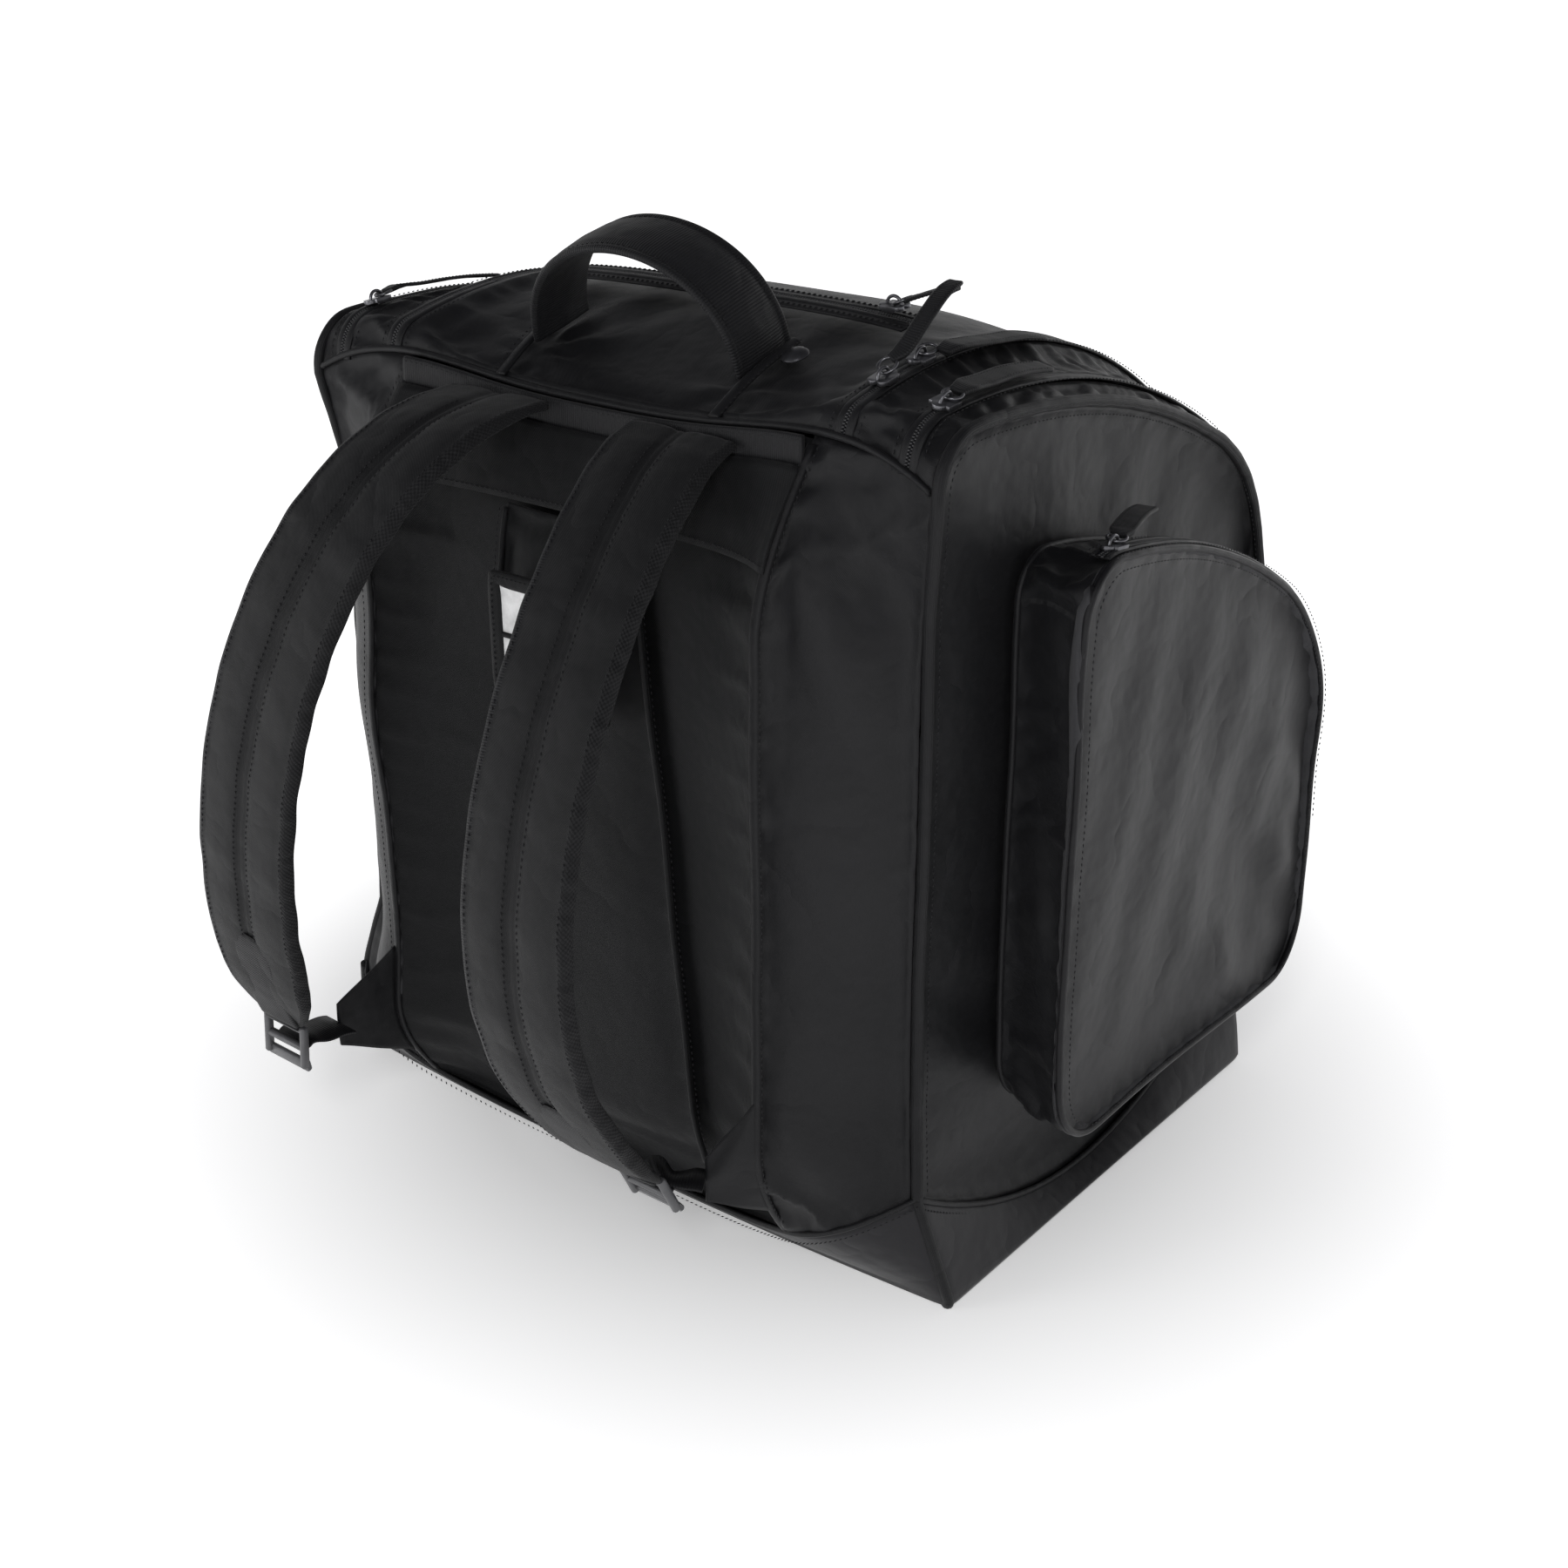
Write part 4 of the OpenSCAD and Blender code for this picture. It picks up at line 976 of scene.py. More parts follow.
# The zips over the side pockets.
for s, tag in SIDES:
    ring = pocket_outline(0, 900)
    keep = (ring[:, 1] > 176) & (ring[:, 0] > -99)
    path = ring[keep]
    path = path[np.argsort(np.arctan2(path[:, 1] - 150, path[:, 0] + 20))[::-1]]
    path = resample(path, 360)
    up = outward(path)
    up *= np.sign((up[:, 1] * (path[:, 0] + 20) + up[:, 2] * (path[:, 1] - 150)).mean())
    line = soften(np.column_stack([np.full(360, s * POCKET_ZIP_X), path])) + up * 1.9
    zip_line("pocket_zip_" + tag, line, s * X, up, "door_" + tag, "flap_" + tag, 0.3)
    ring = resample(pocket_outline(0, 400), 300, closed=True)
    ring = np.vstack([ring, ring[:1]])
    outw = outward(ring)
    outw *= np.sign((outw[:, 1:] * (ring - [15, 215])).sum(1).mean())
    rim_line = soften(np.column_stack([np.full(301, s * 246.3), ring]))
    edge = sweep("pocket_edge_" + tag, rim_line - outw * 0.6, s * X, outw, circle(1.9, 10), [POCKET], caps=False)
    place(edge, "flap_" + tag, "pocket_nylon")
    stitch("flap_" + tag, rim_line - outw * 5.5 + np.array([s * 2.4, 0, 0]), [s, 0, 0], lift=0.4)
    root, _ = pocket_rim(300)
    root = np.vstack([root, root[:1]])
    seam = soften(np.column_stack([np.full(301, s * 203.6), root]))
    welt = sweep("pocket_root_" + tag, seam, s * X, outw, circle(1.7, 8), [NYLON], caps=False)
    place(welt, "door_" + tag, "nylon")

# ---------------------------------------------------------------- harness trim


def yoke_line(z_of, out):
    x = np.linspace(-SEAM_X + 0.5, SEAM_X - 0.5, 120)
    return np.array([[v, panel_y(v, z_of(v)) - out, z_of(v)] for v in x])


xs = np.linspace(-SEAM_X, SEAM_X, 70)
yoke = rear_wall(xs, lambda x, z: panel_y(x, z) - 3.4 - 1.0 * math.sin(math.pi * min(max((z - 388) / 40, 0), 1)),
                 lambda x: 391.0, lambda x: wall_top(x) - 12, 14)
yoke = soften(yoke)
if grid_normals(yoke)[..., 1].mean() > 0:
    yoke = yoke[::-1]
place(shell("yoke", yoke, 2.2, (HARNESS,)), "bag", "harness_cloth", "yoke_panel")
back = -Y
top_line = soften(yoke_line(lambda v: wall_top(v) - 7.5, 3.2))
strap_band = mirrored([(-8.3, -1.5), (-8.1, 0.3), (-7.2, 0.9), (-4, 1.25)], 1.35)
bind = sweep("top_binding_tape", top_line, Z, back, strap_band, [BINDING])
place(bind, "bag", "nylon", "top_binding")
for dz in (-6.4, 6.2):
    stitch("bag", top_line + [0, -0.75, dz], back)
stitch("bag", soften(yoke_line(lambda v: 394.0, 4.4)), back, lift=0.3)

# Seam welt between the top and the harness side.
edge_x = np.linspace(-PIPE_X + 4, PIPE_X - 4, 200)
edge_line = soften(np.array([[v, ends_at(v)[0] - 1.0, wall_top(v) + 1.5] for v in edge_x]))
place(sweep("rear_top_welt", edge_line, Z, -Y, circle(1.8, 8), [NYLON]),
      "bag", "nylon")

# Corner ticks sewn on the binding over each strap root.
for root in (-59.0, 59.0):
    for dx in (-33, 33):
        c = np.array([root + dx, ends_at(root + dx)[0] - 6.4, wall_top(root + dx) - 7.5])
        for way in (1, -1):
            stitch("bag", np.array([c + [-4.5, 0, -5.5 * way], c + [4.5, 0, 5.5 * way]]), [0, -1, 0], 2.6, 2.3)

# Seams round the back pad.
for s in (1, -1):
    z = np.linspace(50, 386, 110)
    seam = soften(np.array([[s * (pad_half(v) - 0.5), panel_y(pad_half(v), v) - 1.4, v] for v in z]))
    place(sweep("pad_seam_" + ("r" if s > 0 else "l"), seam, s * X, -Y,
                circle(1.5, 8), [HARNESS]), "bag", "harness_cloth")
    stitch("bag", seam + [s * 4, 0.4, 0], -Y, lift=0.8)

# ---------------------------------------------------------------- shoulder straps

ROUTES = {"right": np.array([[59, -173, 437], [57, -245, 423], [77, -414, 229], [87, -254, 83]], float),
          "left": np.array([[-59, -173, 437], [-51, -320, 445], [-128, -340, 245], [-136, -289, 108]], float)}
APEX = {"right": np.array([108.0, -226, 70]), "left": np.array([-137.0, -250, 84])}


def bezier(p, t):
    t = np.asarray(t, float)[:, None]
    return (1 - t) ** 3 * p[0] + 3 * t * (1 - t) ** 2 * p[1] + 3 * t * t * (1 - t) * p[2] + t ** 3 * p[3]


def bezier_way(p, t):
    t = np.asarray(t, float)[:, None]
    return unit(3 * (1 - t) ** 2 * (p[1] - p[0]) + 6 * t * (1 - t) * (p[2] - p[1]) + 3 * t * t * (p[3] - p[2]))


def strap_frame(p, t):
    line, way = bezier(p, t), bezier_way(p, t)
    side = unit(np.array([1.0, 0, 0]) - way[:, :1] * way)
    return line, way, side, np.cross(side, way)


def strap_profile(w, t):
    """The strap's outline across: bound edges and two padded lanes beside a stitched channel."""
    h = w / 2
    bound = [(-h, 0.0), (-h + 0.3, 0.24), (-h + 1.4, 0.40), (-h + 3.4, 0.44), (-h + 5.0, 0.42), (-h + 8, 0.49)]
    lanes = [(-h * 0.55, 0.54), (-h * 0.3, 0.53), (-h * 0.17, 0.48), (-h * 0.10, 0.37), (-h * 0.06, 0.31),
             (-h * 0.03, 0.34)]
    top = mirrored(bound + lanes, 0.35)
    low = [(a, -b * 0.8) for a, b in top[-2:0:-1]]
    return np.array([(a, b * t) for a, b in top + low])


for tag, route in ROUTES.items():
    n = 170
    t = np.linspace(0.012, 1.0, n)
    line, way, side, out = strap_frame(route, t)
    out = -out
    width = np.interp(t, [0, 0.9, 0.955, 0.985, 1.0], [66, 66, 58, 44, 33])
    thick = np.interp(t, [0, 0.05, 0.13, 0.93, 1.0], [6, 7, 10.5, 10.5, 5])
    ripple = 0.5 * np.sin(t * 61 + 0.4) + 0.35 * np.sin(t * 97 + 2)
    prof = np.array([strap_profile(w, h) for w, h in zip(width, thick)])
    prof[..., 1] *= 1 + 0.05 * np.sin(t * 95 + 0.7 * np.sin(t * 23))[:, None] * (np.abs(prof[..., 0]) > 7)
    frayed = (RNG.normal(0, 0.35, n) * np.clip((t - 0.1) * 20, 0, 1) * np.clip((0.97 - t) * 20, 0, 1))[:, None]
    prof[:, 22:26, 0] += frayed
    prof[:, 22:26, 1] += frayed * 0.6
    if tag == "right":
        line = line + side * (8 * np.sin(math.pi * np.clip((t - 0.08) / 0.75, 0, 1)))[:, None]
    line = line + out * (ripple * np.clip((t - 0.1) * 8, 0, 1))[:, None] * 0.5

    def lane(i, j):
        edge = 2 if j < 4 or j > 44 else 0
        return 1 if 21 <= j <= 27 else edge
    strap = sweep("shoulder_strap_" + tag, line, side, out, prof, [STRAP, MESH_EDGE, BINDING], index_of=lane)
    for k in (-1, 1):
        for frac, lift in ((0.145, 4.9), (0.885, 4.5)):
            row = line + side * (k * frac * width / 2)[:, None] + out * (lift * thick / 10.5)[:, None]
            stitch("strap_" + tag, row[9:-9], out[9:-9])
    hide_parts("shoulder_strap_" + tag, *(["strap_roots"] if tag == "right" else []))
    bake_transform(strap)

    # Webbing: a patch and a loop that hold the buckle, and a band from the buckle to the tab.
    end, d = route[3], way[-1]
    s, o = side[-1], out[-1]
    patch_line = bezier(route, np.linspace(0.86, 1.0, 24))
    _, _, ps, po = strap_frame(route, np.linspace(0.86, 1.0, 24))
    pt = np.interp(np.linspace(0.86, 1, 24), [0.86, 0.93, 1.0], [5.2, 5.2, 3.2])
    grow = np.interp(np.arange(24), [0, 1, 3, 23], [0.3, 0.75, 1, 1])
    patch = sweep("strap_patch_" + tag, patch_line - po * (pt - 0.6)[:, None], ps, -po,
                  mirrored([(-14.5, -0.6), (-14.2, 0.5), (-12, 0.9)], 1.0), [WEBBING], widths=grow)
    place(patch, "strap_" + tag, "webbing")
    centre = end + d * 15

    def local(y, z):
        return centre + d * y + o * z
    ribbon = [(-12.4, -0.7), (-12.4, 0.7), (0, 0.85), (12.4, 0.7), (12.4, -0.7), (0, -0.85)]
    loop = resample([local(-16, 1.0), local(-12.5, 2.6), local(-9.0, 0.2), local(-12.0, -2.7),
                     local(-18, -2.2)], 24)
    ld = directions(loop)
    place(sweep("strap_loop_" + tag, loop, s, np.cross(s, ld), ribbon, [WEBBING]),
          "strap_" + tag, "webbing")
    apex = APEX[tag]
    run = np.array([local(-2.0, 3.2), local(2.6, 3.4), local(5.0, 0.3), local(3.4, -3.6),
                    local(3.4, -4.8) * 0.5 + apex * 0.5 + o * 1.5, apex])
    smooth = resample(cut_corners(run, 4), 60)
    sd = directions(smooth)
    across = unit(s - sd * (sd @ s)[:, None])
    crumple = 0.8 * np.sin(np.linspace(0, 9, 60))
    smooth = smooth + np.cross(across, sd) * crumple[:, None]
    band = sweep("strap_webbing_" + tag, smooth, across, np.cross(across, sd), ribbon, [WEBBING])
    place(band, "strap_" + tag, "webbing", "strap_webbing_" + tag)

# Tabs sewn into the wrap seams.
for k, tag in SIDES:
    apex = APEX[tag]
    us, vs = np.linspace(0, 1, 22), np.linspace(0, 1, 16)
    p = []
    for u in us:
        z = 48 + 72 * u
        foot = np.array([k * (SEAM_X + 1), rear_y(SEAM_X, z) - 0.6, z])
        tip = apex + [0, 0, -13 + 26 * u]
        p.append([foot * (1 - v) + tip * v - Y * (1.6 * math.sin(9 * u + 4 * v) * v * (1 - v) * 3) for v in vs])
    p = soften(np.array(p))
    obj = shell("webbing_tab_" + tag, p, 1.4, (NYLON,))
    place(obj, "bag", "nylon", *(["webbing_tabs"] if tag == "right" else []))

# ---------------------------------------------------------------- grab handle

HANDLE_Y, HANDLE_HALF, HANDLE_H, HANDLE_W, TILT = -122.0, 66.0, 62.0, 42.0, math.radians(15)
HANDLE_Z = top_z(66, -143) + 0.5


def lean(x, y, z):
    """Points of the handle, tilted back about its foot line."""
    c, s = math.cos(TILT), math.sin(TILT)
    return np.stack([x, HANDLE_Y + y * c - z * s, HANDLE_Z + y * s + z * c], -1)


ang = np.linspace(math.pi, 0, 120)
hx = HANDLE_HALF * np.cos(ang)
hz = (HANDLE_H - 0.8) * np.sin(ang) ** 0.85
line = lean(hx, np.zeros(120), hz)
line = line[line[:, 2] > top_z(HANDLE_HALF, HANDLE_Y) - 5]
for _ in range(3):
    line[1:-1] = (line[:-2] + 2 * line[1:-1] + line[2:]) / 4
line = resample(line, 150)
way = directions(line)
high = np.clip((line[:, 2] - HANDLE_Z) / 22, 0, 1)
tilt_now = TILT * high + 0.38 * (1 - high)
axis_y = np.stack([np.zeros(150), np.cos(tilt_now), np.sin(tilt_now)], -1)
axis_y = unit(axis_y - way * (axis_y * way).sum(1, keepdims=True))
up = np.cross(way, axis_y)
up *= np.sign(up[75, 2])
w = HANDLE_W / 2
half_band = [(-w, 0), (-w + 0.4, 1.2), (-w + 1.8, 1.9), (-w + 3.6, 1.7), (-w + 4.6, 1.35), (-w * 0.6, 2.4)]
prof = np.array(mirrored(half_band, 2.9) + [(w - 1.8, -1.4), (0, -2.2), (-w + 1.8, -1.4)])
prof = np.repeat(prof[None], 150, 0)
prof[..., 1] *= (0.8 + 0.5 * high)[:, None]
grip = sweep("grab_handle_band", line, axis_y, up, prof, [WEBBING])
for k in (-1, 1):
    stitch("handle", (line + axis_y * k * (w - 4.9) + up * (1.1 + 0.9 * high)[:, None])[18:-18], up[18:-18])
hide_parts("grab_handle")
# The band is kept as one piece, with its transform baked in.
z0, z1 = HANDLE_Z + 3, HANDLE_Z + 20
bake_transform(grip)


def seam_height(x, y):
    """The top's surface, and behind y = -150 a slope down to the rear edge."""
    if y > -150:
        return top_z(x, y) + 0.9
    return np.interp(y, [-166, -150], [wall_top(x) + 4.5, top_z(x, -150) + 0.9])


# Seams of the top, in which the handle's ends are sewn.
for k in (-1, 1):
    y = np.linspace(-166, -108, 60)
    x = k * (69 + 4 * ((y + 166) / 58))
    seam = soften(np.array([[a, b, seam_height(a, b)] for a, b in zip(x, y)]))
    lip = [(-2.6, -1.4), (-2.0, -0.1), (-1.0, 0.45), (0.6, 0.4), (2.4, -0.1), (4.2, -1.2), (0.5, -1.8)]
    obj = sweep("top_seam_" + ("r" if k > 0 else "l"), seam, k * X, Z, lip, [NYLON])
    place(obj, "bag", "nylon", *(["handle_feet"] if k > 0 else []))
    stitch("bag", seam + [k * 5.0, 0, 0.3], [0, 0, 1.0], lift=0.3)

# ---------------------------------------------------------------- name card

CARD_Z, CARD_W, CARD_H = 300.0, 68.0, 56.0
card_y = rear_y(0, CARD_Z + CARD_H / 2) + HARNESS_DIP - 13 - 2.1  # on the pad
loop = np.array([[-1, 0], [1, 0], [1, 1], [-1, 1]]) * [CARD_W / 2 + 1.5, CARD_H + 2.5] + [0, CARD_Z - 1.5]
loop = resample(loop, 160, closed=True)
loop = np.vstack([loop, loop[:1]])
centre = np.array([0, CARD_Z + CARD_H / 2])
outw = unit(np.column_stack([loop[:, 0] / 35, np.zeros(161), (loop[:, 1] - centre[1]) / 29]) ** 5)
line = np.column_stack([loop[:, 0], np.full(161, card_y - 2.4), loop[:, 1]])
frame_band = [(-4.2, -1.6), (-4.0, 0.1), (-2, 0.4), (2, 0.4), (4.0, 0.1), (4.2, -1.6)]
window = sweep("card_frame", line, outw, -Y, frame_band, [HARNESS], caps=False)
place(window, "bag", "window", "card_window")
stitch("bag", line + outw * 1.2 + [0, -0.5, 0], [0, -1, 0], 3.0, 2.2, lift=0.2)
bar_x = np.linspace(-CARD_W / 2 - 2, CARD_W / 2 + 2, 30)
bar = np.column_stack([bar_x, np.full(30, card_y - 2.0), np.full(30, centre[1])])
rib = mirrored([(-1.4, -0.5), (-1.2, 0.3)], 0.5)
place(sweep("card_bar", bar, Z, -Y, rib, [HARNESS]), "bag", "window")

# ---------------------------------------------------------------- metal and plastic pieces from the CAD


def refined(node, mat, body, slot, width):
    """A copy of a CAD node with rounded edges, standing for it."""
    source = bpy.data.objects[node]
    obj = bpy.data.objects.new(node + "_finish", source.data.copy())
    bpy.context.scene.collection.objects.link(obj)
    obj.data.materials.clear()
    obj.data.materials.append(mat)
    weld = obj.modifiers.new("weld", "WELD")
    weld.merge_threshold = 0.00002
    flat = obj.modifiers.new("flat", "DECIMATE")
    flat.decimate_type = "DISSOLVE"
    flat.angle_limit = math.radians(3)
    rounded = obj.modifiers.new("round", "BEVEL")
    rounded.width = width * MM
    rounded.segments = 2
    rounded.angle_limit = math.radians(38)
    mesh = bpy.data.meshes.new_from_object(obj.evaluated_get(bpy.context.evaluated_depsgraph_get()))
    obj.modifiers.clear()
    obj.data = mesh
    mesh.polygons.foreach_set("use_smooth", np.ones(len(mesh.polygons), bool))
    mesh.set_sharp_from_angle(angle=math.radians(42))
    return place(obj, body, slot, node)


for node in ("slider_lid_pocket", "slider_lid_rear", "slider_lid_front", "slider_door_right", "slider_door_left",
             "slider_pocket_right", "slider_pocket_left"):
    refined(node, METAL, node, "zip_metal", 0.35)
refined("rivet", RIVET, "bag", "rivet_metal", 0.2)


def rounded_box(cx, cy, cz, lx, ly, lz, r, tip=0.0):
    """Points and faces of a box with rounded long edges, tipped about X."""
    ring = np.array([(sy * (ly / 2 - r) + r * math.cos(a), sz * (lz / 2 - r) + r * math.sin(a))
                     for sy, sz, a0 in ((1, 1, 0), (-1, 1, 90), (-1, -1, 180), (1, -1, 270))
                     for a in np.radians([a0, a0 + 30, a0 + 60, a0 + 90])])
    verts = []
    for x, k in ((-lx / 2, 0.72), (-lx / 2 + r * 0.6, 1), (lx / 2 - r * 0.6, 1), (lx / 2, 0.72)):
        y, z = ring[:, 0] * k, ring[:, 1] * k
        c, w = math.cos(tip), math.sin(tip)
        verts.append(np.column_stack([np.full(16, cx + x), cy + y * c - z * w, cz + y * w + z * c]))
    faces = [tuple(f) for f in quads(4, 16, True)] + [tuple(range(15, -1, -1)), tuple(range(48, 64))]
    return np.concatenate(verts), faces


def turned_box(cx, cy, cz, lx, ly, lz, r):
    """The same box with its long edges along Y."""
    v, f = rounded_box(0, 0, 0, ly, lx, lz, r)
    return np.column_stack([-v[:, 1] + cx, v[:, 0] + cy, v[:, 2] + cz]), f


for tag, route in ROUTES.items():
    _, way, side, _ = strap_frame(route, np.array([0.999, 1.0]))
    d, s = way[-1], side[-1]
    o = np.cross(s, d)
    centre = route[3] + d * 15 - (d * 11 + o * 1.5)
    hang = math.radians(-22)
    d, o = d * math.cos(hang) + o * math.sin(hang), o * math.cos(hang) - d * math.sin(hang)
    centre = centre + d * 11 + o * 1.5
    parts = [turned_box(k * 14.2, 0, 0, 3.8, 25, 5.0, 1.6) for k in (-1, 1)]
    parts += [rounded_box(0, -10.8, 0, 31, 4.4, 4.6, 2.0), rounded_box(0, 0.5, -0.2, 29, 4.0, 4.0, 1.9),
              rounded_box(0, 11.6, 1.6, 32, 7.5, 3.4, 1.5, 0.24)]
    verts, faces = [], []
    for v, f in parts:
        base = sum(len(q) for q in verts)
        verts.append(centre + v[:, :1] * s + v[:, 1:2] * d + v[:, 2:] * o)
        faces += [tuple(i + base for i in q) for q in f]
    lock = new_mesh("ladder_lock_%s_finish" % tag, np.concatenate(verts), faces, [PLASTIC])
    lock.data.set_sharp_from_angle(angle=math.radians(40))
    place(lock, "ladder_lock_" + tag, "buckle", "ladder_lock_" + tag)

# ---------------------------------------------------------------- zip pulls


def torus(centre, normal, major, minor, n=36, m=10):
    normal = unit(normal)
    a = unit(np.cross(normal, [0.3, 0.9, 0.2]))
    b = np.cross(normal, a)
    t = np.linspace(0, 2 * math.pi, n + 1)
    out = np.cos(t)[:, None] * a + np.sin(t)[:, None] * b
    return centre + out * major, out, normal, circle(minor, m)


def pull(node, hinge, route, across, width):
    """A wire ring and a folded ribbon that starts in it and follows the route. node is its body's name too."""
    hinge, route = np.asarray(hinge, float), np.asarray(route, float)
    first = unit(route[1] - route[0])
    across = unit(across)
    n = 46
    route = resample(cut_corners(route, 3), n)
    d = directions(route)
    side = unit(across - d * (d @ across)[:, None])
    up = np.cross(side, d)
    w = width / 2
    prof = mirrored([(-w, -0.55), (-w - 0.2, 0), (-w, 0.75), (-w + 0.9, 1.0)], 0.85) + [(0, -0.75)]
    grow = np.interp(np.linspace(0, 1, n), [0, 0.05, 0.12, 0.9, 0.97, 1], [0.62, 0.75, 1, 1, 0.97, 0.86])
    prof = np.repeat(np.array(prof)[None], n, 0)
    prof[..., 0] *= grow[:, None]
    prof[..., 1] *= np.interp(np.linspace(0, 1, n), [0, 0.1, 0.14, 1], [1.5, 1.5, 1.1, 1.0])[:, None]
    ribbon = sweep(node + "_ribbon", route, side, up, prof, [BINDING])
    c, o, nn, ringp = torus(hinge, np.cross(across, first), RING, 0.78)
    ring = sweep(node + "_ring", c, o, nn, ringp, [METAL], caps=False)
    place(ring, node, "zip_metal")
    place(ribbon, node, "pull_ribbon", node)
    for k in (-1, 1):
        edge = route[6:-2] + side[6:-2] * k * (w - 1.6) + up[6:-2] * 1.0
        stitch(node, edge, up[6:-2], 2.4, 1.7, 0.3, 0.05)


def surface_frame(x, y):
    """A point of the top and its unit vectors: across, forwards and out of the surface."""
    a = arc_at(x)
    pitch = -math.asin((y - a[0]) / a[2])
    roll = math.atan((top_z(abs(x) - 1, y) - top_z(abs(x) + 1, y)) / 2) * (1 if x > 0 else -1)
    ex = np.array([math.cos(roll), math.sin(roll) * math.sin(pitch), -math.sin(roll) * math.cos(pitch)])
    ez = np.array([math.sin(roll), -math.sin(pitch) * math.cos(roll), math.cos(pitch) * math.cos(roll)])
    return np.array([x, y, top_z(x, y)]), ex, np.cross(ez, ex), ez


# Height of a pull's hinge above the cloth, and the radius of its wire ring.
PULL_Z, RING = 2.2 + 2 + 1.6, 4.6


def over(x, y, dx, lift):
    """A point above the top, dx to the side of x."""
    return np.array([x + dx, y, top_z(x + dx, y) + lift])


o, ex, ey, ez = surface_frame(LID_ZIP_X, -137)
h = o + ez * PULL_Z
way = unit(ey * math.cos(math.radians(27)) + ez * math.sin(math.radians(27)))
pull("pull_lid_rear", h + way * RING,
     [h + way * 8, h + way * 14 + ex * 3.5, h + way * 30 + ez * 3 + ex * 6, h + way * 48 + ez * 2 + ex * 6,
      h + way * 60 - ez * 3 + ex * 6], ex, 9)
o, ex, ey, ez = surface_frame(LID_ZIP_X, -108)
h = o + ez * PULL_Z
pull("pull_lid_front", h + ey * RING,
     [h + ey * 6 + ex * 7.5, h + ey * 14 + ex * 8 + ez * 1.5, over(LID_ZIP_X, -82, 8, 6.5),
      over(LID_ZIP_X, -60, 8.5, 5.0), over(LID_ZIP_X, -38, 8, 5.5), over(LID_ZIP_X, -20, 8, 4.2)], ex, 12)
for s, tag in SIDES:
    o, ex, ey, ez = surface_frame(s * DOOR_ZIP_X, -142)
    h = o + ez * PULL_Z
    pull("pull_door_" + tag, h + ey * RING,
         [h + ey * 7, h + ey * 16 + ez * 1.2, over(s * DOOR_ZIP_X, -112, 0, 5.4),
          over(s * DOOR_ZIP_X, -86, -s * 1.5, 5.6), over(s * DOOR_ZIP_X, -58, -s * 1, 4.8)], ex, 12)
    py = -86.0
    pz = POCKET_ARC[1] + math.sqrt(POCKET_ARC[2] ** 2 - (py - POCKET_ARC[0]) ** 2)
    pitch = -math.asin((py - POCKET_ARC[0]) / POCKET_ARC[2])
    ey, ez = np.array([0, math.cos(pitch), math.sin(pitch)]), np.array([0, -math.sin(pitch), math.cos(pitch)])
    h = np.array([s * POCKET_ZIP_X, py, pz]) + ez * PULL_Z
    out_x = np.array([s * 1.0, 0, 0])
    way = unit(ey - out_x * 0.28 + ez * 0.1)
    pull("pull_pocket_" + tag, h + way * RING,
         [h + way * 7, h + way * 20 + ez * 1.5, h + way * 40 + ez * 2, h + way * 62 - ez], np.cross(way, ez), 12)
h = np.array([101.0, LID_ZIP_Y, top_z(0, LID_ZIP_Y) + 1.4]) + upw * PULL_Z
way = unit(np.array([1.0, 0, 0]) + upw * 0.18)
pull("pull_lid_pocket", h + way * RING,
     [h + way * 7, h + way * 16 + upw * 2, h + way * 27 + upw * 4, h + way * 36 + upw * 3], fwd, 10)

sew_all()

# ---------------------------------------------------------------- CAD nodes that stay

for node, mat, slot_name in (("base_board", BOARD, "stiffener"), ("divider_right", LINING, "lining"),
                             ("divider_left", LINING, "lining"), ("name_card", CARD, "card")):
    obj = bpy.data.objects[node]
    obj.data.materials.clear()
    obj.data.materials.append(mat)

# ---------------------------------------------------------------- floor, light and camera

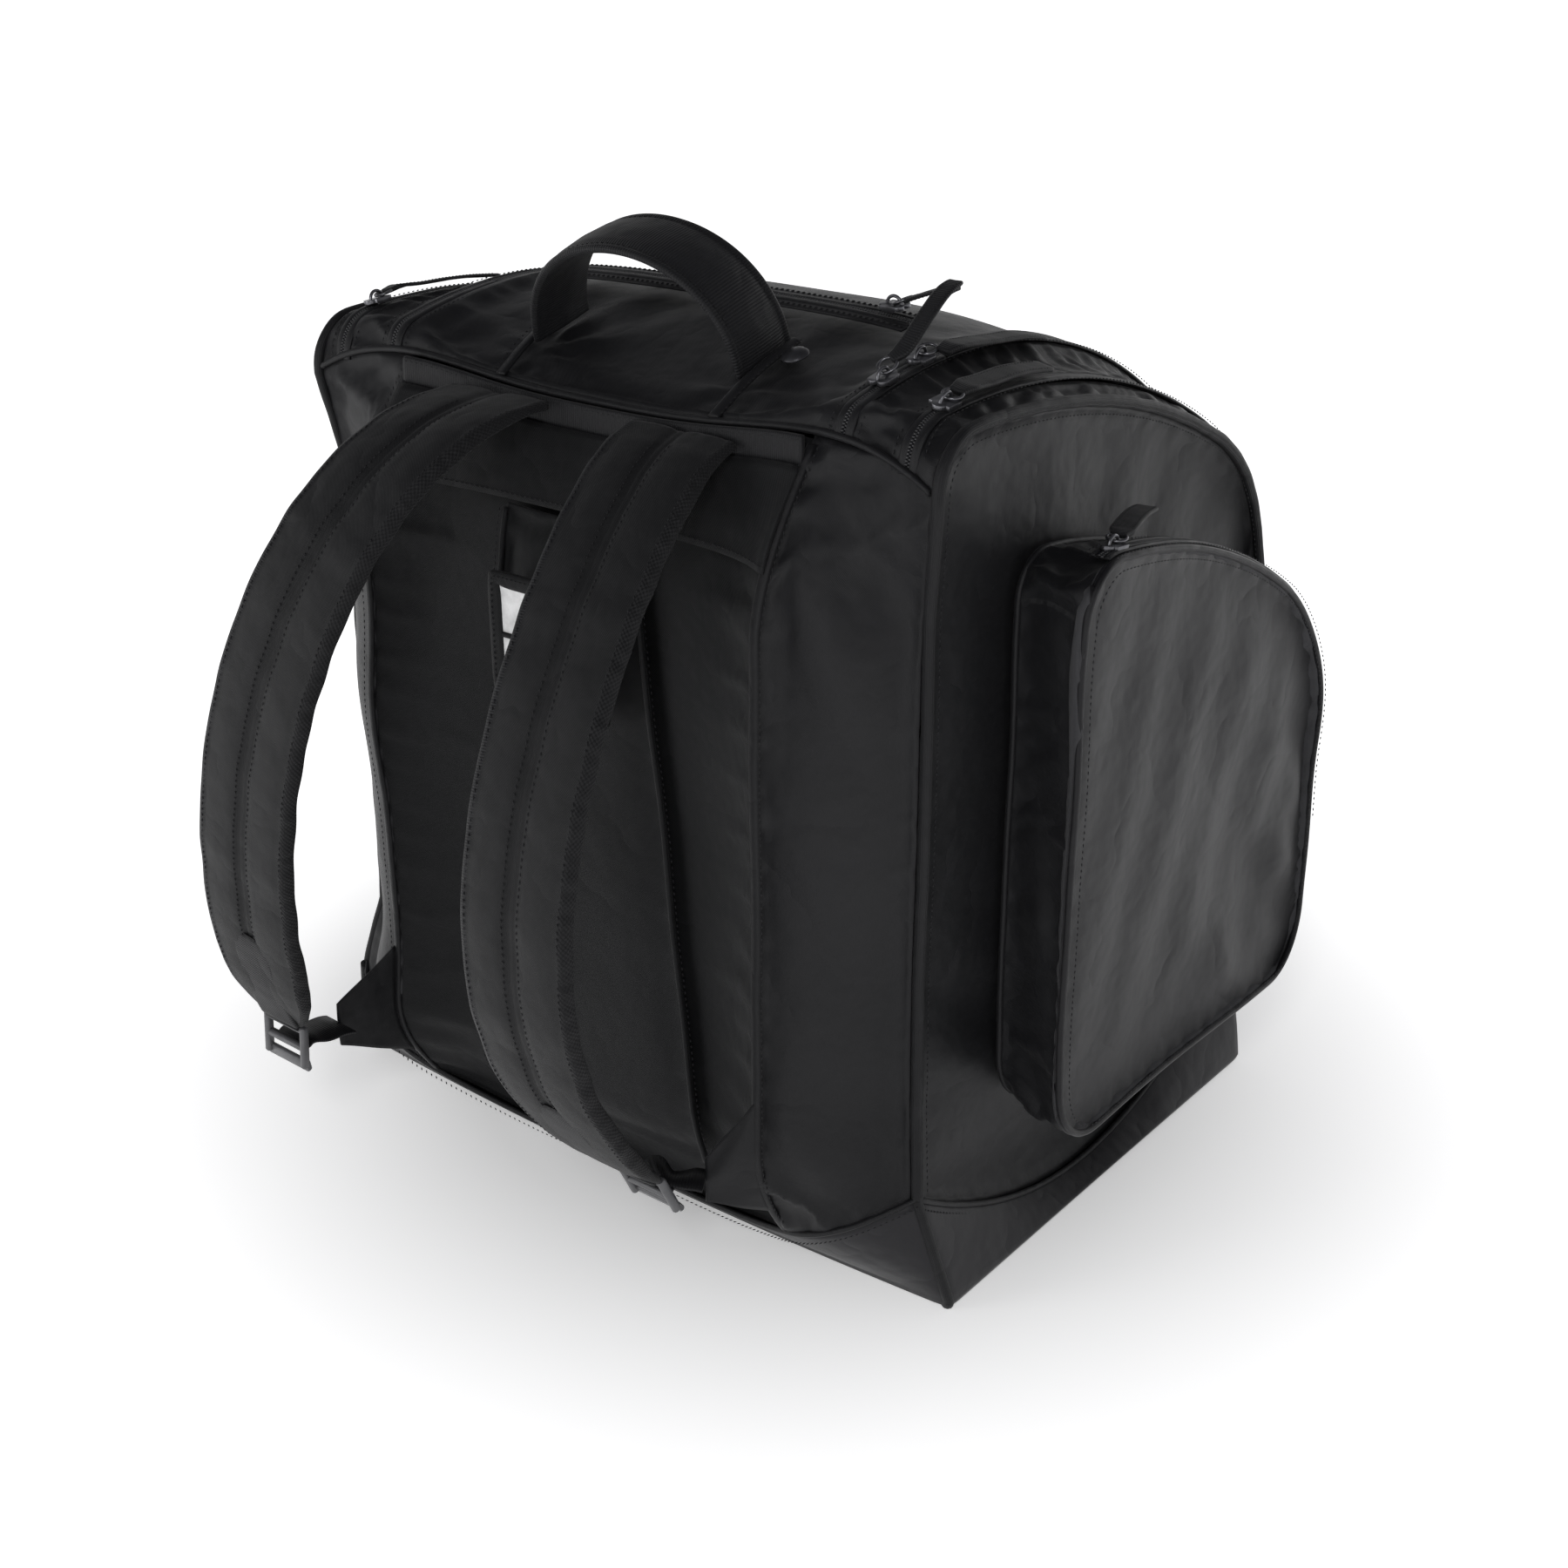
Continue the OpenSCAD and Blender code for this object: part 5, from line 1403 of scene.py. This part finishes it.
floor_mat, tree, floor_shader = shader("floor")
place_in = tree.nodes.new("ShaderNodeTexCoord").outputs["Object"]
paper = ramp(tree, noise(tree, place_in, 3, 3), [(0.3, (0.90, 0.90, 0.90)), (0.7, (0.92, 0.92, 0.92))])
link(tree, paper, floor_shader.inputs["Base Color"])
floor_shader.inputs["Roughness"].default_value = 0.9
# The floor glows at 0.3 within 0.2 m of the middle and up to 0.94 beyond 0.5 m: the dimmer glow round the bag is a
# painted contact shadow.
floor_shader.inputs["Emission Color"].default_value = (1, 1, 1, 1)
painted_shadow_reach = tree.nodes.new("ShaderNodeVectorMath")
painted_shadow_reach.operation = "LENGTH"
link(tree, place_in, painted_shadow_reach.inputs[0])
link(tree, between(tree, painted_shadow_reach.outputs["Value"], 0.3, 0.94, 0.2, 0.5), floor_shader.inputs["Emission Strength"])
FLOOR_REACH = 30000
corners = [[a * FLOOR_REACH, b * FLOOR_REACH, -0.3] for a, b in ((-1, -1), (1, -1), (1, 1), (-1, 1))]
floor = new_mesh("floor", corners, [(0, 1, 2, 3)], [floor_mat])

# The studio's walls are bright and its ceiling is dim.
world = bpy.data.worlds.new("studio")
bpy.context.scene.world = world
world.use_nodes = True
tree = world.node_tree
split = tree.nodes.new("ShaderNodeSeparateXYZ")
link(tree, tree.nodes.new("ShaderNodeTexCoord").outputs["Generated"], split.inputs[0])
glow = ramp(tree, split.outputs["Z"],
            [(0.0, (1.0, 1.0, 1.0)), (0.06, (0.95, 0.95, 0.95)), (0.22, (0.45, 0.45, 0.45)),
             (0.55, (0.22, 0.22, 0.23)), (1.0, (0.10, 0.10, 0.11))])
link(tree, glow, tree.nodes["Background"].inputs["Color"])
tree.nodes["Background"].inputs["Strength"].default_value = 1.0


def area(name, at, look, size, watts):
    data = bpy.data.lights.new(name, "AREA")
    data.shape = "DISK"
    data.size = size
    data.energy = watts
    lamp = bpy.data.objects.new(name, data)
    bpy.context.scene.collection.objects.link(lamp)
    lamp.rotation_euler = (Vector(look) - Vector(at)).to_track_quat("-Z", "Y").to_euler()
    lamp.location = at
    return lamp


area("key", (1.0, -1.7, 1.5), (0.05, -0.05, 0.25), 0.5, 11)
area("fill", (-0.9, -1.7, 0.6), (0, -0.1, 0.25), 0.8, 6)
area("back", (0.4, 1.9, 1.0), (0, 0, 0.3), 0.8, 3)

camera = bpy.data.cameras.new("camera")
camera.sensor_width = 36
camera.lens = 49.652
camera.clip_end = 60
view = bpy.data.objects.new("camera", camera)
view.location = (0.7073, -0.9229, 0.6946)
view.rotation_euler = (math.radians(90 - 23.8), 0, math.radians(38.2))
bpy.context.scene.collection.objects.link(view)
bpy.context.scene.camera = view
bpy.context.scene.view_settings.view_transform = "Standard"
